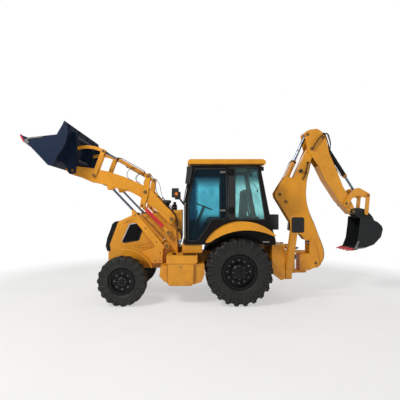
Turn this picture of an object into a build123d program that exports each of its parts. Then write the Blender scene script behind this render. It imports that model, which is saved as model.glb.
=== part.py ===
"""Backhoe loader: front loader with levelling linkage, cab, and a centre-pivot digging arm.

Millimetres. +X points to the digging arm, +Z up, -Y to the machine's left. The pieces are modelled from the
middle of the rear axle, on the ground, and moved at the end, which puts the origin below the middle of the
machine.
"""

from build123d import *
from math import cos, hypot, radians, sin, sqrt
import os

# Clearances
PIN_GAP = 0.5          # between a pin and its bore, on the radius
SEAT = 0.3             # between a curved face and its seat
SIDE_GAP = 5.0         # between a rod's open eye and the ears beside it
DOOR_GAP = 6.0         # round the door

# Wheels
REAR_R, REAR_W, REAR_Y = 650.0, 470.0, 912.0
REAR_RIM_R, REAR_LUGS, REAR_LUG_H = 305.0, 17, 38.0
FRONT_R, FRONT_W, FRONT_Y = 477.0, 310.0, 990.0
FRONT_RIM_R, FRONT_LUGS, FRONT_LUG_H = 222.0, 15, 24.0
FRONT_X = -2240.0
RIM_WALL, FLANGE_H, FLANGE_T = 14.0, 22.0, 12.0
RIM_SHARE = 0.36       # half the rim's width as a share of the tyre's width
KINGPIN_Y, KINGPIN_R = 800.0, 30.0
SPINDLE_R = 55.0

# Frame
RAIL_IN, RAIL_OUT, RAIL_Z0, RAIL_Z1 = 330.0, 430.0, 770.0, 900.0
NOSE_X, NOSE_END_X, NOSE_Z0, NOSE_Z1 = -2640.0, -1440.0, 640.0, 985.0
NOSE_HALF, NOSE_PLATE = 470.0, 30.0
TOWER_IN, TOWER_OUT = NOSE_HALF + 12, NOSE_HALF + 42
TOW_HOLE = (-2672.0, 775.0)
TOW_R, TOW_T = 16.0, 30.0
FLANK_IN, FLANK_OUT = NOSE_HALF + 198, NOSE_HALF + 222
TANK_IN, TANK_OUT = NOSE_HALF + 90, NOSE_HALF + 580
FENDER_R = 600.0
REAR_X0, REAR_X1, REAR_Z0, REAR_Z1 = 690.0, 950.0, 470.0, 1146.0
PLATFORM_Z0, PLATFORM_Z1 = 985.0, 1150.0

# Loader linkage: side view places (x, z), and the layers in Y on each side
ARM_PIVOT = (-1318.0, 1657.0)
CRANK_PIVOT = (-1853.0, 2206.0)
CRANK_TOP = (-1797.0, 2528.0)
CRANK_FOOT = (-1918.0, 1930.0)
LINK_FOOT = (ARM_PIVOT[0] + CRANK_FOOT[0] - CRANK_PIVOT[0], ARM_PIVOT[1] + CRANK_FOOT[1] - CRANK_PIVOT[1])
LEVER_PIVOT = (-2895.0, 2545.0)
LEVER_TOP = (-2710.0, 3040.0)
COUPLER_TOP = (-3286.0, 3088.0)
COUPLER_PIN = (-3330.0, 2645.0)
LIFT_BASE = (-1414.0, 1110.0)
LIFT_EYE = (-2560.0, 2309.0)
ARM_IN = NOSE_HALF + 60
ARM_OUT = ARM_IN + 80
PLATE_IN = (ARM_IN - 28, ARM_IN - 10)
PLATE_OUT = (ARM_OUT + 10, ARM_OUT + 28)
LINK_Y = (ARM_IN + 45, ARM_IN + 82)
LIFT_Y = ARM_IN + 40
TILT_Y = ARM_IN + 33
TILT_EYE = (ARM_IN - 2, ARM_IN + 38)
COUPLER_EAR = (ARM_IN + 22, ARM_IN + 36)
LIFT_ROD_R, TILT_ROD_R = 25.0, 20.0
LOADER_PIN_R, LINK_PIN_R = 32.0, 24.0
COUPLER_SHAFT_R, LEVER_SHAFT_R = 68.0, 50.0
ARM_PIN_R = 40.0

# Loader bucket
BUCKET_HALF, BUCKET_WALL = 1200.0, 20.0
LOADER_TEETH = 8

# Cab
CAB_HALF, CAB_WALL = 800.0, 45.0
CAB_FLOOR_Z, CAB_TOP_Z = 1150.0, 2734.0
CAB_FRONT_X, CAB_BEND_Z = -1062.0, 1999.0
HINGE_X, HINGE_Y = -125.0, -CAB_HALF - 15
ROOF_HALF, ROOF_TOP_Z = CAB_HALF + 30, 2853.0
REAR_HALF = CAB_HALF - 10
GLASS_T, GLASS_INSET = 8.0, 18.0
ARCH_R, ARCH_Y = 735.0, REAR_Y - REAR_W / 2 - 77
FENDER_OUT = 1110.0

# Digging arm
SWING_X = 1530.0
KING_R = 45.0
BRACKET_HALF, BRACKET_R = 100.0, 95.0
BRACKET_LOW, BRACKET_HIGH = (470.0, 530.0), (900.0, 945.0)
POST_X0, POST_X1, POST_HALF = 1445.0, 1635.0, 155.0
POST_EAR_IN = 125.0
BOOM_FOOT = (1790.0, 690.0)
BOOM_RAM_POST = (1700.0, 1120.0)
BOOM_RAM_KNEE = (1150.0, 2020.0)
DIPPER_RAM_KNEE = (1019.0, 2176.0)
DIPPER_PIVOT = (1700.0, 3170.0)
DIPPER_RAM_TOP = (1608.0, 3484.0)
BUCKET_RAM_TOP = (1956.0, 3415.0)
BUCKET_PIVOT = (2600.0, 1806.0)
ROCKER_PIVOT = (2436.0, 1980.0)
ROCKER_RAM = (2687.0, 2263.0)
ROCKER_TIP = (2894.0, 2154.0)
BUCKET_LINK = (2861.0, 1773.0)
BOOM_IN, BOOM_OUT = 92.0, 117.0
DIPPER_IN, DIPPER_OUT = 122.0, 140.0
EAR_IN, EAR_OUT = 146.0, 166.0
ROCKER_IN, ROCKER_OUT = 172.0, 190.0
LINK_IN, LINK_OUT = 194.0, 210.0
DIG_PIN_R = 36.0
DIG_HALF, DIG_WALL, DIG_TEETH = 300.0, 18.0, 4

# Stabilizers: (y, z) places of the near one, taken outwards from the middle
LEG_X0, LEG_X1 = 960.0, 1080.0
PAD_OUT, PAD_T = 1180.0, 30.0
LEG_PIVOT = (710.0, 520.0)
LEG_TOP = (PAD_OUT - 55, 1440.0)
LEG_EYE = (LEG_PIVOT[0] + 0.4554 * (LEG_TOP[0] - LEG_PIVOT[0]), 916.0)
LEG_RAM_BASE = (200.0, 1060.0)
LEG_RAM_X = 1125.0
LEG_ROD_SHOWN = 74.0   # from the folded cylinder's mouth to its rod's eye
PAD_X0, PAD_X1, PAD_Z0, PAD_Z1 = 945.0, 1215.0, 1395.0, 1725.0


def slab(outline, y_from, y_to):
    """A side view outline of (x, z) points, pulled from one Y to another."""
    edge = Polyline(*[(x, y_from, z) for x, z in outline], close=True)
    return extrude(make_face(edge), amount=y_to - y_from, dir=(0, 1, 0))


def cross_slab(outline, x_from, x_to):
    """A rear view outline of (y, z) points, pulled from one X to another."""
    edge = Polyline(*[(x_from, y, z) for y, z in outline], close=True)
    return extrude(make_face(edge), amount=x_to - x_from, dir=(1, 0, 0))


def block(x_range, y_range, z_range):
    """A box between two corners."""
    size = [high - low for low, high in (x_range, y_range, z_range)]
    middle = [(high + low) / 2 for low, high in (x_range, y_range, z_range)]
    return Pos(*middle) * Box(*size)


def pin(place, radius, y_from, y_to):
    """A round bar along Y at a side view place."""
    x, z = place
    seat = Plane((x, y_from, z), x_dir=(1, 0, 0), z_dir=(0, 1, 0))
    return seat * Cylinder(radius, y_to - y_from, align=(Align.CENTER, Align.CENTER, Align.MIN))


def bar(start, end, radius):
    """A round bar between two points."""
    along = Vector(*end) - Vector(*start)
    return Plane(start, z_dir=along) * Cylinder(radius, along.length,
                                                align=(Align.CENTER, Align.CENTER, Align.MIN))


def strap(start, end, half, y_from, y_to):
    """A flat bar with round ends from one side view place to another."""
    length = hypot(end[0] - start[0], end[1] - start[1])
    across = ((end[1] - start[1]) / length * half, (start[0] - end[0]) / length * half)
    corners = [
        (start[0] + across[0], start[1] + across[1]),
        (end[0] + across[0], end[1] + across[1]),
        (end[0] - across[0], end[1] - across[1]),
        (start[0] - across[0], start[1] - across[1]),
    ]
    return slab(corners, y_from, y_to) + pin(start, half, y_from, y_to) + pin(end, half, y_from, y_to)


def both(piece):
    """A left piece (-Y) with its mirror image on the right."""
    return piece + mirror(piece, about=Plane.XZ)


def left(outline, layer):
    """A plate on the left side only, in a layer given outwards from the middle."""
    return slab(outline, -layer[1], -layer[0])


def left_pin(place, radius, layer):
    """A pin on the left side only, in a layer given outwards from the middle."""
    return pin(place, radius, -layer[1], -layer[0])


def left_strap(start, end, half, layer):
    """A strap on the left side only, in a layer given outwards from the middle."""
    return strap(start, end, half, -layer[1], -layer[0])


def between(start, end, share):
    """The place at a share of the way from one side view place to another."""
    return tuple(a + (b - a) * share for a, b in zip(start, end))


def along(start, end, distance):
    """The place at a distance from one side view place towards another."""
    return between(start, end, distance / hypot(end[0] - start[0], end[1] - start[1]))


def ram(base, eye, y, barrel_r, rod_r, barrel_length, base_pin_r, eye_layer, eye_r, travel=0.0, neck=0.0):
    """Barrel and rod of a cylinder in the side view: the rod runs in the barrel's bore to its open eye.

    The travel is how far the rod can still go in. With a neck, the round rod stops that far before the eye,
    and a flat strap in the eye's layer goes on.
    """
    end = along(base, eye, barrel_length)
    bore_start = along(base, eye, base_pin_r + 45)
    base_half = min(barrel_r, 50)
    body = bar((base[0], y, base[1]), (end[0], y, end[1]), barrel_r)
    body += pin(base, base_pin_r + 24, y - base_half, y + base_half)
    body -= pin(base, base_pin_r + PIN_GAP, y - barrel_r - 5, y + barrel_r + 5)
    lip = along(base, eye, barrel_length + 5)
    body -= bar((bore_start[0], y, bore_start[1]), (lip[0], y, lip[1]), rod_r + PIN_GAP)
    rod_start = along(base, eye, base_pin_r + 55 + travel)
    rod_end = along(eye, base, neck)
    rod = bar((rod_start[0], y, rod_start[1]), (rod_end[0], y, rod_end[1]), rod_r)
    rod += pin(eye, eye_r, *eye_layer)
    if neck:
        rod += strap(along(eye, base, neck + 12), eye, rod_r + 7, *eye_layer)
    return body, rod


def lug(radius, depth, inner_y, outer_y, width, slant):
    """One slanted tread bar on top of a tyre, leaning along the tread from the middle to the shoulder."""
    reach = slant + width / 2
    crown = sqrt(radius ** 2 - reach ** 2)
    foot = radius - depth - 12
    outline = [
        (-width / 2, inner_y),
        (width / 2, inner_y),
        (slant + width / 2, outer_y),
        (slant - width / 2, outer_y),
    ]
    edge = Polyline(*[(x, y, foot) for x, y in outline], close=True)
    return extrude(make_face(edge), amount=crown - foot, dir=(0, 0, 1))


def faceted_ring(outline, sides):
    """A ring about the Y axis, of flat faces: a closed outline of (r, y) carried round a regular polygon."""
    turns = [radians((step + 0.5) * 360 / sides) for step in range(sides)]
    faces = []
    for (r0, y0), (r1, y1) in zip(outline, outline[1:] + outline[:1]):
        for now, after in zip(turns, turns[1:] + turns[:1]):
            corners = [(r0, y0, now), (r1, y1, now), (r1, y1, after), (r0, y0, after)]
            edge = Polyline(*[(r * sin(turn), y, r * cos(turn)) for r, y, turn in corners], close=True)
            faces.append(make_face(edge).face())
    return Solid(Shell(faces))


def tyre(radius, width, rim_r, lugs, lug_h, side):
    """A tyre about the Y axis through the origin, of flat facets, one under each tread bar."""
    half = width / 2
    tread_r = radius - lug_h
    shoulder = 0.20 * radius
    bead = (rim_r + SEAT) / cos(radians(90 / lugs))
    outline = [
        (bead, -RIM_SHARE * width),
        (rim_r + FLANGE_H + 4, -RIM_SHARE * width),
        (rim_r + 42, -0.46 * width),
        (tread_r - shoulder, -half),
        (tread_r, -half + 0.12 * width),
        (tread_r, half - 0.12 * width),
        (tread_r - shoulder, half),
        (rim_r + 42, 0.46 * width),
        (rim_r + FLANGE_H + 4, RIM_SHARE * width),
        (bead, RIM_SHARE * width),
    ]
    body = faceted_ring(outline, 2 * lugs)
    bar_width, slant = 0.075 * radius, 0.13 * radius
    pitch = 360 / lugs
    for index in range(lugs):
        for direction in (-1, 1):
            one = lug(radius, lug_h, direction * 0.02 * width, direction * (half - 25), bar_width,
                      side * slant)
            turn = index * pitch + (pitch / 2 if direction > 0 else 0)
            body += Rot(0, turn, 0) * one
    return body


def rim(rim_r, width, disc_y, hub_r, hub_out, hub_in):
    """A rim for the left side about the Y axis: barrel, two flanges, dished disc and bored hub."""
    seat = RIM_SHARE * width + SEAT
    edge = seat + FLANGE_T
    flange = rim_r + FLANGE_H
    wall_in = rim_r - RIM_WALL
    outline = [
        (SPINDLE_R + PIN_GAP, -hub_in),
        (hub_r, -hub_in),
        (hub_r, -disc_y + 22),
        (wall_in, -disc_y + 40),
        (wall_in, edge),
        (flange, edge),
        (flange, seat),
        (rim_r, seat),
        (rim_r, -seat),
        (flange, -seat),
        (flange, -edge),
        (wall_in, -edge),
        (wall_in, -disc_y - 10),
        (hub_r, -disc_y),
        (hub_r, -hub_out + 20),
        (hub_r - 25, -hub_out),
        (0, -hub_out),
        (0, -hub_out + 30),
        (SPINDLE_R + PIN_GAP, -hub_out + 30),
    ]
    section = make_face(Polyline(*[(r, y, 0) for r, y in outline], close=True))
    return revolve(section, axis=Axis.Y)


def wheels():
    """Tyres and rims, each in its own node."""
    nodes = {}
    sizes = {
        "rear": (0.0, REAR_R, REAR_W, REAR_RIM_R, REAR_LUGS, REAR_LUG_H, REAR_Y, (60, 150, 190, -40)),
        "front": (FRONT_X, FRONT_R, FRONT_W, FRONT_RIM_R, FRONT_LUGS, FRONT_LUG_H, FRONT_Y,
                  (50, 95, 120, -60)),
    }
    for name, (x, radius, width, rim_r, lugs, lug_h, y, hub) in sizes.items():
        left_tyre = tyre(radius, width, rim_r, lugs, lug_h, 1)
        left_rim = rim(rim_r, width, *hub)
        for side, sign in (("left", -1), ("right", 1)):
            place = Pos(x, sign * y, radius)
            one_tyre = left_tyre if sign < 0 else mirror(left_tyre, about=Plane.XZ)
            one_rim = left_rim if sign < 0 else mirror(left_rim, about=Plane.XZ)
            nodes[f"tyre_{name}_{side}"] = place * one_tyre
            nodes[f"rim_{name}_{side}"] = place * one_rim
    return nodes


def axles():
    """Rear axle with its spindles and propeller shaft, front axle beam, and the two knuckles."""
    rear_z, front_z = REAR_R, FRONT_R
    axle = bar((0, -REAR_Y + 60, rear_z), (0, REAR_Y - 60, rear_z), 100)
    axle += bar((0, -REAR_Y - 120, rear_z), (0, REAR_Y + 120, rear_z), SPINDLE_R)
    axle += Pos(0, 0, rear_z) * Sphere(185)
    for sign in (-1, 1):
        middle = sign * (RAIL_IN + RAIL_OUT) / 2
        axle += block((-90, 90), (middle - 50, middle + 50), (rear_z, RAIL_Z0))
    axle += bar((-150, 0, rear_z), (NOSE_END_X, 0, rear_z), 38)
    beam = [(-620, 430), (620, 430), (620, 530), (250, 545), (-250, 545), (-620, 530)]
    front = cross_slab(beam, FRONT_X - 75, FRONT_X + 75)
    front += block((FRONT_X - 110, FRONT_X + 110), (-150, 150), (front_z, NOSE_Z0))
    for sign in (-1, 1):
        yoke = sorted((sign * 600, sign * (KINGPIN_Y + 45)))
        for low, high in ((front_z - 125, front_z - 95), (front_z + 95, front_z + 125)):
            front += block((FRONT_X - 50, FRONT_X + 50), yoke, (low, high))
        web = sorted((sign * 600, sign * 660))
        front += block((FRONT_X - 50, FRONT_X + 50), web, (front_z - 125, front_z + 125))
        front += Pos(FRONT_X, sign * KINGPIN_Y, front_z) * Cylinder(KINGPIN_R, 250)
    knuckle = block((FRONT_X - 50, FRONT_X + 50), (-KINGPIN_Y - 45, -KINGPIN_Y + 45),
                    (front_z - 92, front_z + 92))
    knuckle -= Pos(FRONT_X, -KINGPIN_Y, front_z) * Cylinder(KINGPIN_R + PIN_GAP, 200)
    knuckle += bar((FRONT_X, -KINGPIN_Y - 45, front_z), (FRONT_X, -FRONT_Y + 60 + SEAT, front_z), 80)
    knuckle += bar((FRONT_X, -KINGPIN_Y - 100, front_z), (FRONT_X, -FRONT_Y - 80, front_z), SPINDLE_R)
    return {
        "axles": axle + front,
        "knuckle_left": knuckle,
        "knuckle_right": mirror(knuckle, about=Plane.XZ),
    }


def main_frame():
    """Nose plates, rails, loader towers, and platform under the cab."""
    frame = block((NOSE_X, NOSE_END_X), (-NOSE_HALF, NOSE_HALF), (NOSE_Z0, NOSE_Z0 + NOSE_PLATE))
    for sign in (-1, 1):
        side = sorted((sign * NOSE_HALF, sign * (NOSE_HALF - NOSE_PLATE)))
        frame += block((NOSE_X, NOSE_END_X), side, (NOSE_Z0, NOSE_Z1))
        rail = sorted((sign * RAIL_IN, sign * RAIL_OUT))
        frame += block((NOSE_END_X - 60, REAR_X1), rail, (RAIL_Z0, RAIL_Z1))
        for x in (-1250, -950):
            hanger = sorted((sign * RAIL_OUT, sign * TANK_IN))
            frame += block((x - 40, x + 40), hanger, (820, RAIL_Z1))
        for x in (-1000, 560):
            frame += block((x - 60, x + 60), rail, (RAIL_Z1, PLATFORM_Z1))
    frame += block((NOSE_X, NOSE_X + NOSE_PLATE), (-NOSE_HALF, NOSE_HALF), (NOSE_Z0, NOSE_Z1))
    frame += block((NOSE_END_X - 120, NOSE_END_X), (-TOWER_OUT, TOWER_OUT), (NOSE_Z0, NOSE_Z1))
    tow_x, tow_z = TOW_HOLE
    tow_lug = slab([(NOSE_X, tow_z - 55), (tow_x - 28, tow_z - 35), (tow_x - 28, tow_z + 35),
                    (NOSE_X, tow_z + 55)],
                   -TOW_T / 2, TOW_T / 2)
    frame += tow_lug - pin(TOW_HOLE, TOW_R, -TOW_T, TOW_T)
    frame += block((-1100, -700), (-CAB_HALF + 20, CAB_HALF - 20), (PLATFORM_Z0, PLATFORM_Z1))
    tower = [
        (-1560, NOSE_Z0 + 100), (-1560, 1130), (-1470, 1440), (-1400, 1700), (-1340, 1740), (-1262, 1720),
        (-1235, 1500), (-1200, 1100), (-1200, RAIL_Z0), (-1440, NOSE_Z0 + 100),
    ]
    side = left(tower, (TOWER_IN, TOWER_OUT))
    side += block((-1560, -1200), (-TOWER_OUT, -RAIL_OUT), (RAIL_Z0, RAIL_Z1))
    for place in (ARM_PIVOT, LINK_FOOT, LIFT_BASE):
        side += left_pin(place, ARM_PIN_R, (TOWER_IN, ARM_OUT + 30))
        side += left_pin(place, ARM_PIN_R + 14, (ARM_OUT + 14, ARM_OUT + 30))
    side += block((-1650, -1500), (-FLANK_IN, -NOSE_HALF), (790, 950))
    return {"main_frame": frame + both(side)}


def rear_frame():
    """Rear frame with the swing bracket, and the stabilizers' pivots and cylinder ears."""
    rear = [(REAR_X0, REAR_Z1), (REAR_X1, REAR_Z1), (REAR_X1, REAR_Z0), (REAR_X0 + 170, REAR_Z0 - 25),
            (REAR_X0, 600)]
    frame = slab(rear, -REAR_HALF, REAR_HALF)
    for sign in (-1, 1):
        frame -= block((REAR_X0 - 5, REAR_X1 + 5), sorted((sign * RAIL_IN, sign * RAIL_OUT)),
                       (RAIL_Z0, RAIL_Z1))
    frame += block((REAR_X1, 1330), (-150, 150), (BRACKET_LOW[0], BRACKET_HIGH[1]))
    for low, high in (BRACKET_LOW, BRACKET_HIGH):
        frame += block((1330, SWING_X), (-BRACKET_HALF, BRACKET_HALF), (low, high))
        frame += Pos(SWING_X, 0, (low + high) / 2) * Cylinder(BRACKET_R, high - low)
    king_low, king_high = BRACKET_LOW[0], BRACKET_HIGH[1]
    frame += Pos(SWING_X, 0, (king_low + king_high) / 2) * Cylinder(KING_R, king_high - king_low)
    pivot_y, pivot_z = LEG_PIVOT
    base_y, base_z = LEG_RAM_BASE
    for sign in (-1, 1):
        frame += bar((REAR_X1 - 10, sign * pivot_y, pivot_z), (LEG_X1 + 8, sign * pivot_y, pivot_z), 40)
        ear = [(sign * 100, BRACKET_HIGH[1] - 20), (sign * 260, BRACKET_HIGH[1] - 20),
               (sign * 250, base_z + 40),
               (sign * 160, base_z + 40)]
        frame += cross_slab(ear, LEG_RAM_X - 75, LEG_RAM_X - 48)
        frame += bar((LEG_RAM_X - 60, sign * base_y, base_z), (LEG_RAM_X + 45, sign * base_y, base_z), 26)
    frame += block((LEG_RAM_X - 75, LEG_RAM_X - 48), (-260, 260), (BRACKET_HIGH[1] - 60, BRACKET_HIGH[1]))
    return {"rear_frame": frame}


def nose():
    """Hood shell, grille and vents, and the engine as one plain block."""
    shell_outline = [
        (-2590, NOSE_Z1), (-2610, 1120), (-2470, 1500), (-2440, 1600), (-2149, 1735), (-1110, 1850),
        (-1110, 1250),
        (-1190, 1200), (-1190, NOSE_Z1),
    ]
    face = make_face(Polyline(*[(x, 0, z) for x, z in shell_outline], close=True))
    inner = offset(face, amount=-22, kind=Kind.INTERSECTION)
    hood = extrude(face, amount=NOSE_HALF, dir=(0, 1, 0), both=True)
    hood = chamfer(hood.edges().filter_by_position(Axis.Z, 1590, 1860).filter_by(
        lambda e: abs(abs(e.center().Y) - NOSE_HALF) < 1), 45)
    hood -= extrude(inner, amount=NOSE_HALF - 22, dir=(0, 1, 0), both=True)
    hood -= block((-2560, -1215), (-NOSE_HALF + 22, NOSE_HALF - 22), (NOSE_Z1 - 5, NOSE_Z1 + 30))
    vent = [(-2345, 1195), (-2185, 1535), (-1975, 1569), (-1914, 1496), (-2008, 1210), (-2320, 1158)]
    hood -= slab(vent, -NOSE_HALF - 5, NOSE_HALF + 5)
    grille_outline = [
        (-2610, 1120), (-2470, 1500), (-2440, 1600), (-2503, 1600), (-2565, 1548), (-2597, 1444),
        (-2669, 1257),
        (-2701, 1090), (-2669, NOSE_Z1), (-2590, NOSE_Z1),
    ]
    grille = slab(grille_outline, -NOSE_HALF + 12, NOSE_HALF - 12)
    for index in range(9):
        z = 1060 + index * 48
        grille -= block((-2720, -2560 + (z - 1060) * 0.28), (-NOSE_HALF + 60, NOSE_HALF - 60), (z, z + 22))
    louvres = left(vent, (NOSE_HALF - 20, NOSE_HALF - 6))
    for index in range(7):
        z = 1215 + index * 44
        louvres -= block((-2400, -1850), (-NOSE_HALF, -NOSE_HALF + 14), (z, z + 18))
    engine = block((-2380, -1620), (-300, 300), (NOSE_Z0 + NOSE_PLATE, 1400))
    return {"hood": hood, "grilles": grille + both(louvres), "engine": engine}


def side_pieces():
    """Tank and battery boxes with their steps, and the four fenders."""
    tank = slab([(-1395, 806), (-1395, 969), (-801, 969), (-801, 840), (-860, 806)], -TANK_OUT, -TANK_IN)
    tank += slab([(-1376, 425), (-1376, 806), (-860, 806), (-878, 425), (-920, 385), (-1330, 385)], -1050,
                 -560)
    front_part = [(-1540, 560), (-1510, 760), (-1376, 760), (-1376, 440), (-1430, 440)]
    tank += slab(front_part, -TANK_OUT + 70, -TANK_IN - 60)
    rear_part = [(-880, 806), (-668, 806), (-660, 600), (-720, 450), (-880, 400)]
    tank += slab(rear_part, -TANK_OUT + 50, -TANK_IN - 40)
    outer = ThreePointArc((-640, 0, 1215), (30, 0, 1618), (700, 0, 1345))
    inner = ThreePointArc((640, 0, 1345), (70, 0, 1452), (-560, 0, 1228))
    edges = [outer, Line(outer @ 1, inner @ 0), inner, Line(inner @ 1, outer @ 0)]
    crescent = make_face(Curve() + edges)
    skin = Pos(0, -CAB_HALF, 0) * extrude(crescent, amount=FENDER_OUT - CAB_HALF, dir=(0, -1, 0))
    hollow_outer = ThreePointArc((-600, 0, 1200), (30, 0, 1590), (665, 0, 1320))
    hollow = make_face(Curve() + [hollow_outer, Line(hollow_outer @ 1, (700, 0, 900)),
                                  Line((700, 0, 900), (-640, 0, 900)),
                                  Line((-640, 0, 900), hollow_outer @ 0)])
    skin -= Pos(0, -CAB_HALF, 0) * extrude(hollow, amount=FENDER_OUT - CAB_HALF - 30, dir=(0, -1, 0))
    hub = (FRONT_X, FRONT_R)
    front = left_pin(hub, FENDER_R - SEAT, (FLANK_IN, FLANK_IN + 192))
    front -= left_pin(hub, FENDER_R - 20, (FLANK_IN - 5, FLANK_IN + 197))
    wedge = [hub]
    for angle in (22, 60, 100):
        wedge.append((FRONT_X + 900 * cos(radians(angle)), FRONT_R + 900 * sin(radians(angle))))
    front = front & left(wedge, (FLANK_IN - 5, FLANK_IN + 202))
    flank = [
        (-2115, 1838), (-2086, 1850), (-1448, 1092), (-1488, 1040), (-1500, 769), (-1950, 769), (-1950, 990),
        (-1700, 1060),
        (-1655, 1125), (-2115, 1690),
    ]
    panel = left(flank, (FLANK_IN, FLANK_OUT)) - left_pin(hub, FENDER_R, (FLANK_IN - 5, FLANK_OUT + 5))
    return {"side_boxes": both(tank), "fenders": both(skin + front + panel)}


def cab_outline():
    """Side view outline of the cab."""
    return [
        (CAB_FRONT_X, CAB_FLOOR_Z), (CAB_FRONT_X, CAB_BEND_Z), (-905, CAB_TOP_Z), (450, CAB_TOP_Z),
        (690, 1500),
        (760, 1240), (760, CAB_FLOOR_Z),
    ]


def door_outline(grow):
    """Side view outline of the door, or of its opening when grown by the gap."""
    rear = -186 + grow
    return [
        (rear, 2690 + grow), (-868 - grow, 2690 + grow), (-1010 - grow, 2010), (-1010 - grow, 1192 - grow),
        (-775 + grow, 1192 - grow), (-725 + grow, 1262 - grow), (-625 + grow, 1398 - grow),
        (-560 + grow, 1480 - grow),
        (-485 + grow, 1625 - grow), (rear, 1625 - grow),
    ]


SIDE_WINDOW = [(-50, 2690), (385, 2690), (548, 1650), (-50, 1650)]
DOOR_WINDOW = [
    (-220, 2656), (-844, 2656), (-974, 2008), (-974, 1228), (-796, 1228), (-690, 1372), (-592, 1503),
    (-514, 1662),
    (-220, 1662),
]


def cab():
    """Hollow cab with its floor and wheel arches, roof, windows and left door."""
    face = make_face(Polyline(*[(x, 0, z) for x, z in cab_outline()], close=True))
    room = offset(face, amount=-CAB_WALL, kind=Kind.INTERSECTION)
    shell = extrude(face, amount=CAB_HALF, dir=(0, 1, 0), both=True)
    hollow = extrude(room, amount=CAB_HALF - CAB_WALL, dir=(0, 1, 0), both=True)
    for sign in (-1, 1):
        arch = sorted((sign * ARCH_Y, sign * (CAB_HALF + 10)))
        hollow -= pin((0, REAR_R), ARCH_R + CAB_WALL, arch[0], arch[1])
    shell -= hollow
    for sign in (-1, 1):
        arch = sorted((sign * (ARCH_Y + CAB_WALL), sign * (CAB_HALF + 10)))
        shell -= pin((0, REAR_R), ARCH_R, arch[0], arch[1])
    shell -= block((-800, 380), (150 - CAB_HALF, CAB_HALF - 150), (CAB_TOP_Z - CAB_WALL - 5, CAB_TOP_Z + 5))
    shell -= slab(door_outline(DOOR_GAP), -CAB_HALF - 5, -CAB_HALF + CAB_WALL + 5)
    shell -= slab(DOOR_WINDOW, CAB_HALF - CAB_WALL - 5, CAB_HALF + 5)
    shell -= slab(SIDE_WINDOW, -CAB_HALF - 5, CAB_HALF + 5)
    panes = {
        "low": (block((-1200, -900), (85 - CAB_HALF, CAB_HALF - 85), (1290, 1960))),
        "high": (block((-1200, -700), (85 - CAB_HALF, CAB_HALF - 85), (2035, 2680))),
        "rear": (block((400, 900), (100 - CAB_HALF, CAB_HALF - 100), (1640, 2680))),
    }
    pane_out = offset(face, amount=-GLASS_INSET, kind=Kind.INTERSECTION)
    pane_in = offset(face, amount=-GLASS_INSET - GLASS_T, kind=Kind.INTERSECTION)
    skin = extrude(pane_out, amount=CAB_HALF, dir=(0, 1, 0), both=True)
    skin -= extrude(pane_in, amount=CAB_HALF + 5, dir=(0, 1, 0), both=True)
    glass = None
    for pane in panes.values():
        shell -= pane
        piece = skin & pane
        glass = piece if glass is None else glass + piece
    side_y = (CAB_HALF - GLASS_INSET - GLASS_T, CAB_HALF - GLASS_INSET)
    glass += both(left(SIDE_WINDOW, side_y)) + slab(DOOR_WINDOW, *side_y)
    door = slab(door_outline(0), -CAB_HALF, -CAB_HALF + CAB_WALL)
    door -= slab(DOOR_WINDOW, -CAB_HALF - 5, -CAB_HALF + CAB_WALL + 5)
    for z in (1830, 2590):
        door += Pos(HINGE_X, HINGE_Y, z) * Cylinder(14, 44)
        door += block((-240, HINGE_X - 4), (HINGE_Y - 14, -CAB_HALF), (z - 22, z + 22))
        for low, high in ((z - 60, z - 23), (z + 23, z + 60)):
            shell += block((HINGE_X - 18, HINGE_X + 40), (HINGE_Y - 14, -CAB_HALF), (low, high))
    roof_outline = [
        (-930, CAB_TOP_Z), (-990, 2765), (-985, 2815), (-940, ROOF_TOP_Z), (500, ROOF_TOP_Z), (550, 2820),
        (562, 2760),
        (530, CAB_TOP_Z),
    ]
    roof = slab(roof_outline, -ROOF_HALF, ROOF_HALF)
    roof = chamfer(roof.edges().filter_by_position(Axis.Z, ROOF_TOP_Z - 1, ROOF_TOP_Z + 1).filter_by(Axis.X),
                   30)
    return {
        "cab_frame": shell,
        "cab_glass": glass,
        "cab_roof": roof,
        "door_left": door,
        "door_left_glass": slab(DOOR_WINDOW, -side_y[1], -side_y[0]),
    }


def cab_inside():
    """Seat, and the steering wheel, console and levers."""
    floor = CAB_FLOOR_Z + CAB_WALL
    seat = block((-190, 190), (-170, 170), (floor, 1480))
    seat += block((-260, 240), (-250, 250), (1480, 1600))
    seat += slab([(130, 1600), (240, 1600), (300, 2080), (270, 2280), (190, 2280), (180, 2080)], -230, 230)
    column = bar((-800, 0, 1500), (-634, 0, 1915), 35)
    console = slab([(-980, floor), (-980, 1560), (-860, 1640), (-740, 1560), (-740, floor)], -300, 300)
    grip = Rot(90, 0, 0) * (Pos(190, 0, 0) * RegularPolygon(15, 6))
    wheel = Plane((-634, 0, 1915), z_dir=(160, 0, 400)) * revolve(grip, axis=Axis.Z)
    spokes = Plane((-634, 0, 1915),
                   z_dir=(160, 0, 400)) * (Box(370, 30, 14) + Box(30, 370, 14) + Cylinder(45, 30))
    controls = console + column + wheel + spokes
    controls += block((330, 520), (-330, 330), (floor, 1700))
    for y in (-210, -80, 80, 210):
        controls += bar((400, y, 1690), (330, y, 2010), 11) + Pos(330, y, 2020) * Cylinder(24, 52)
    return {"seat": seat, "controls": controls}


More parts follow.
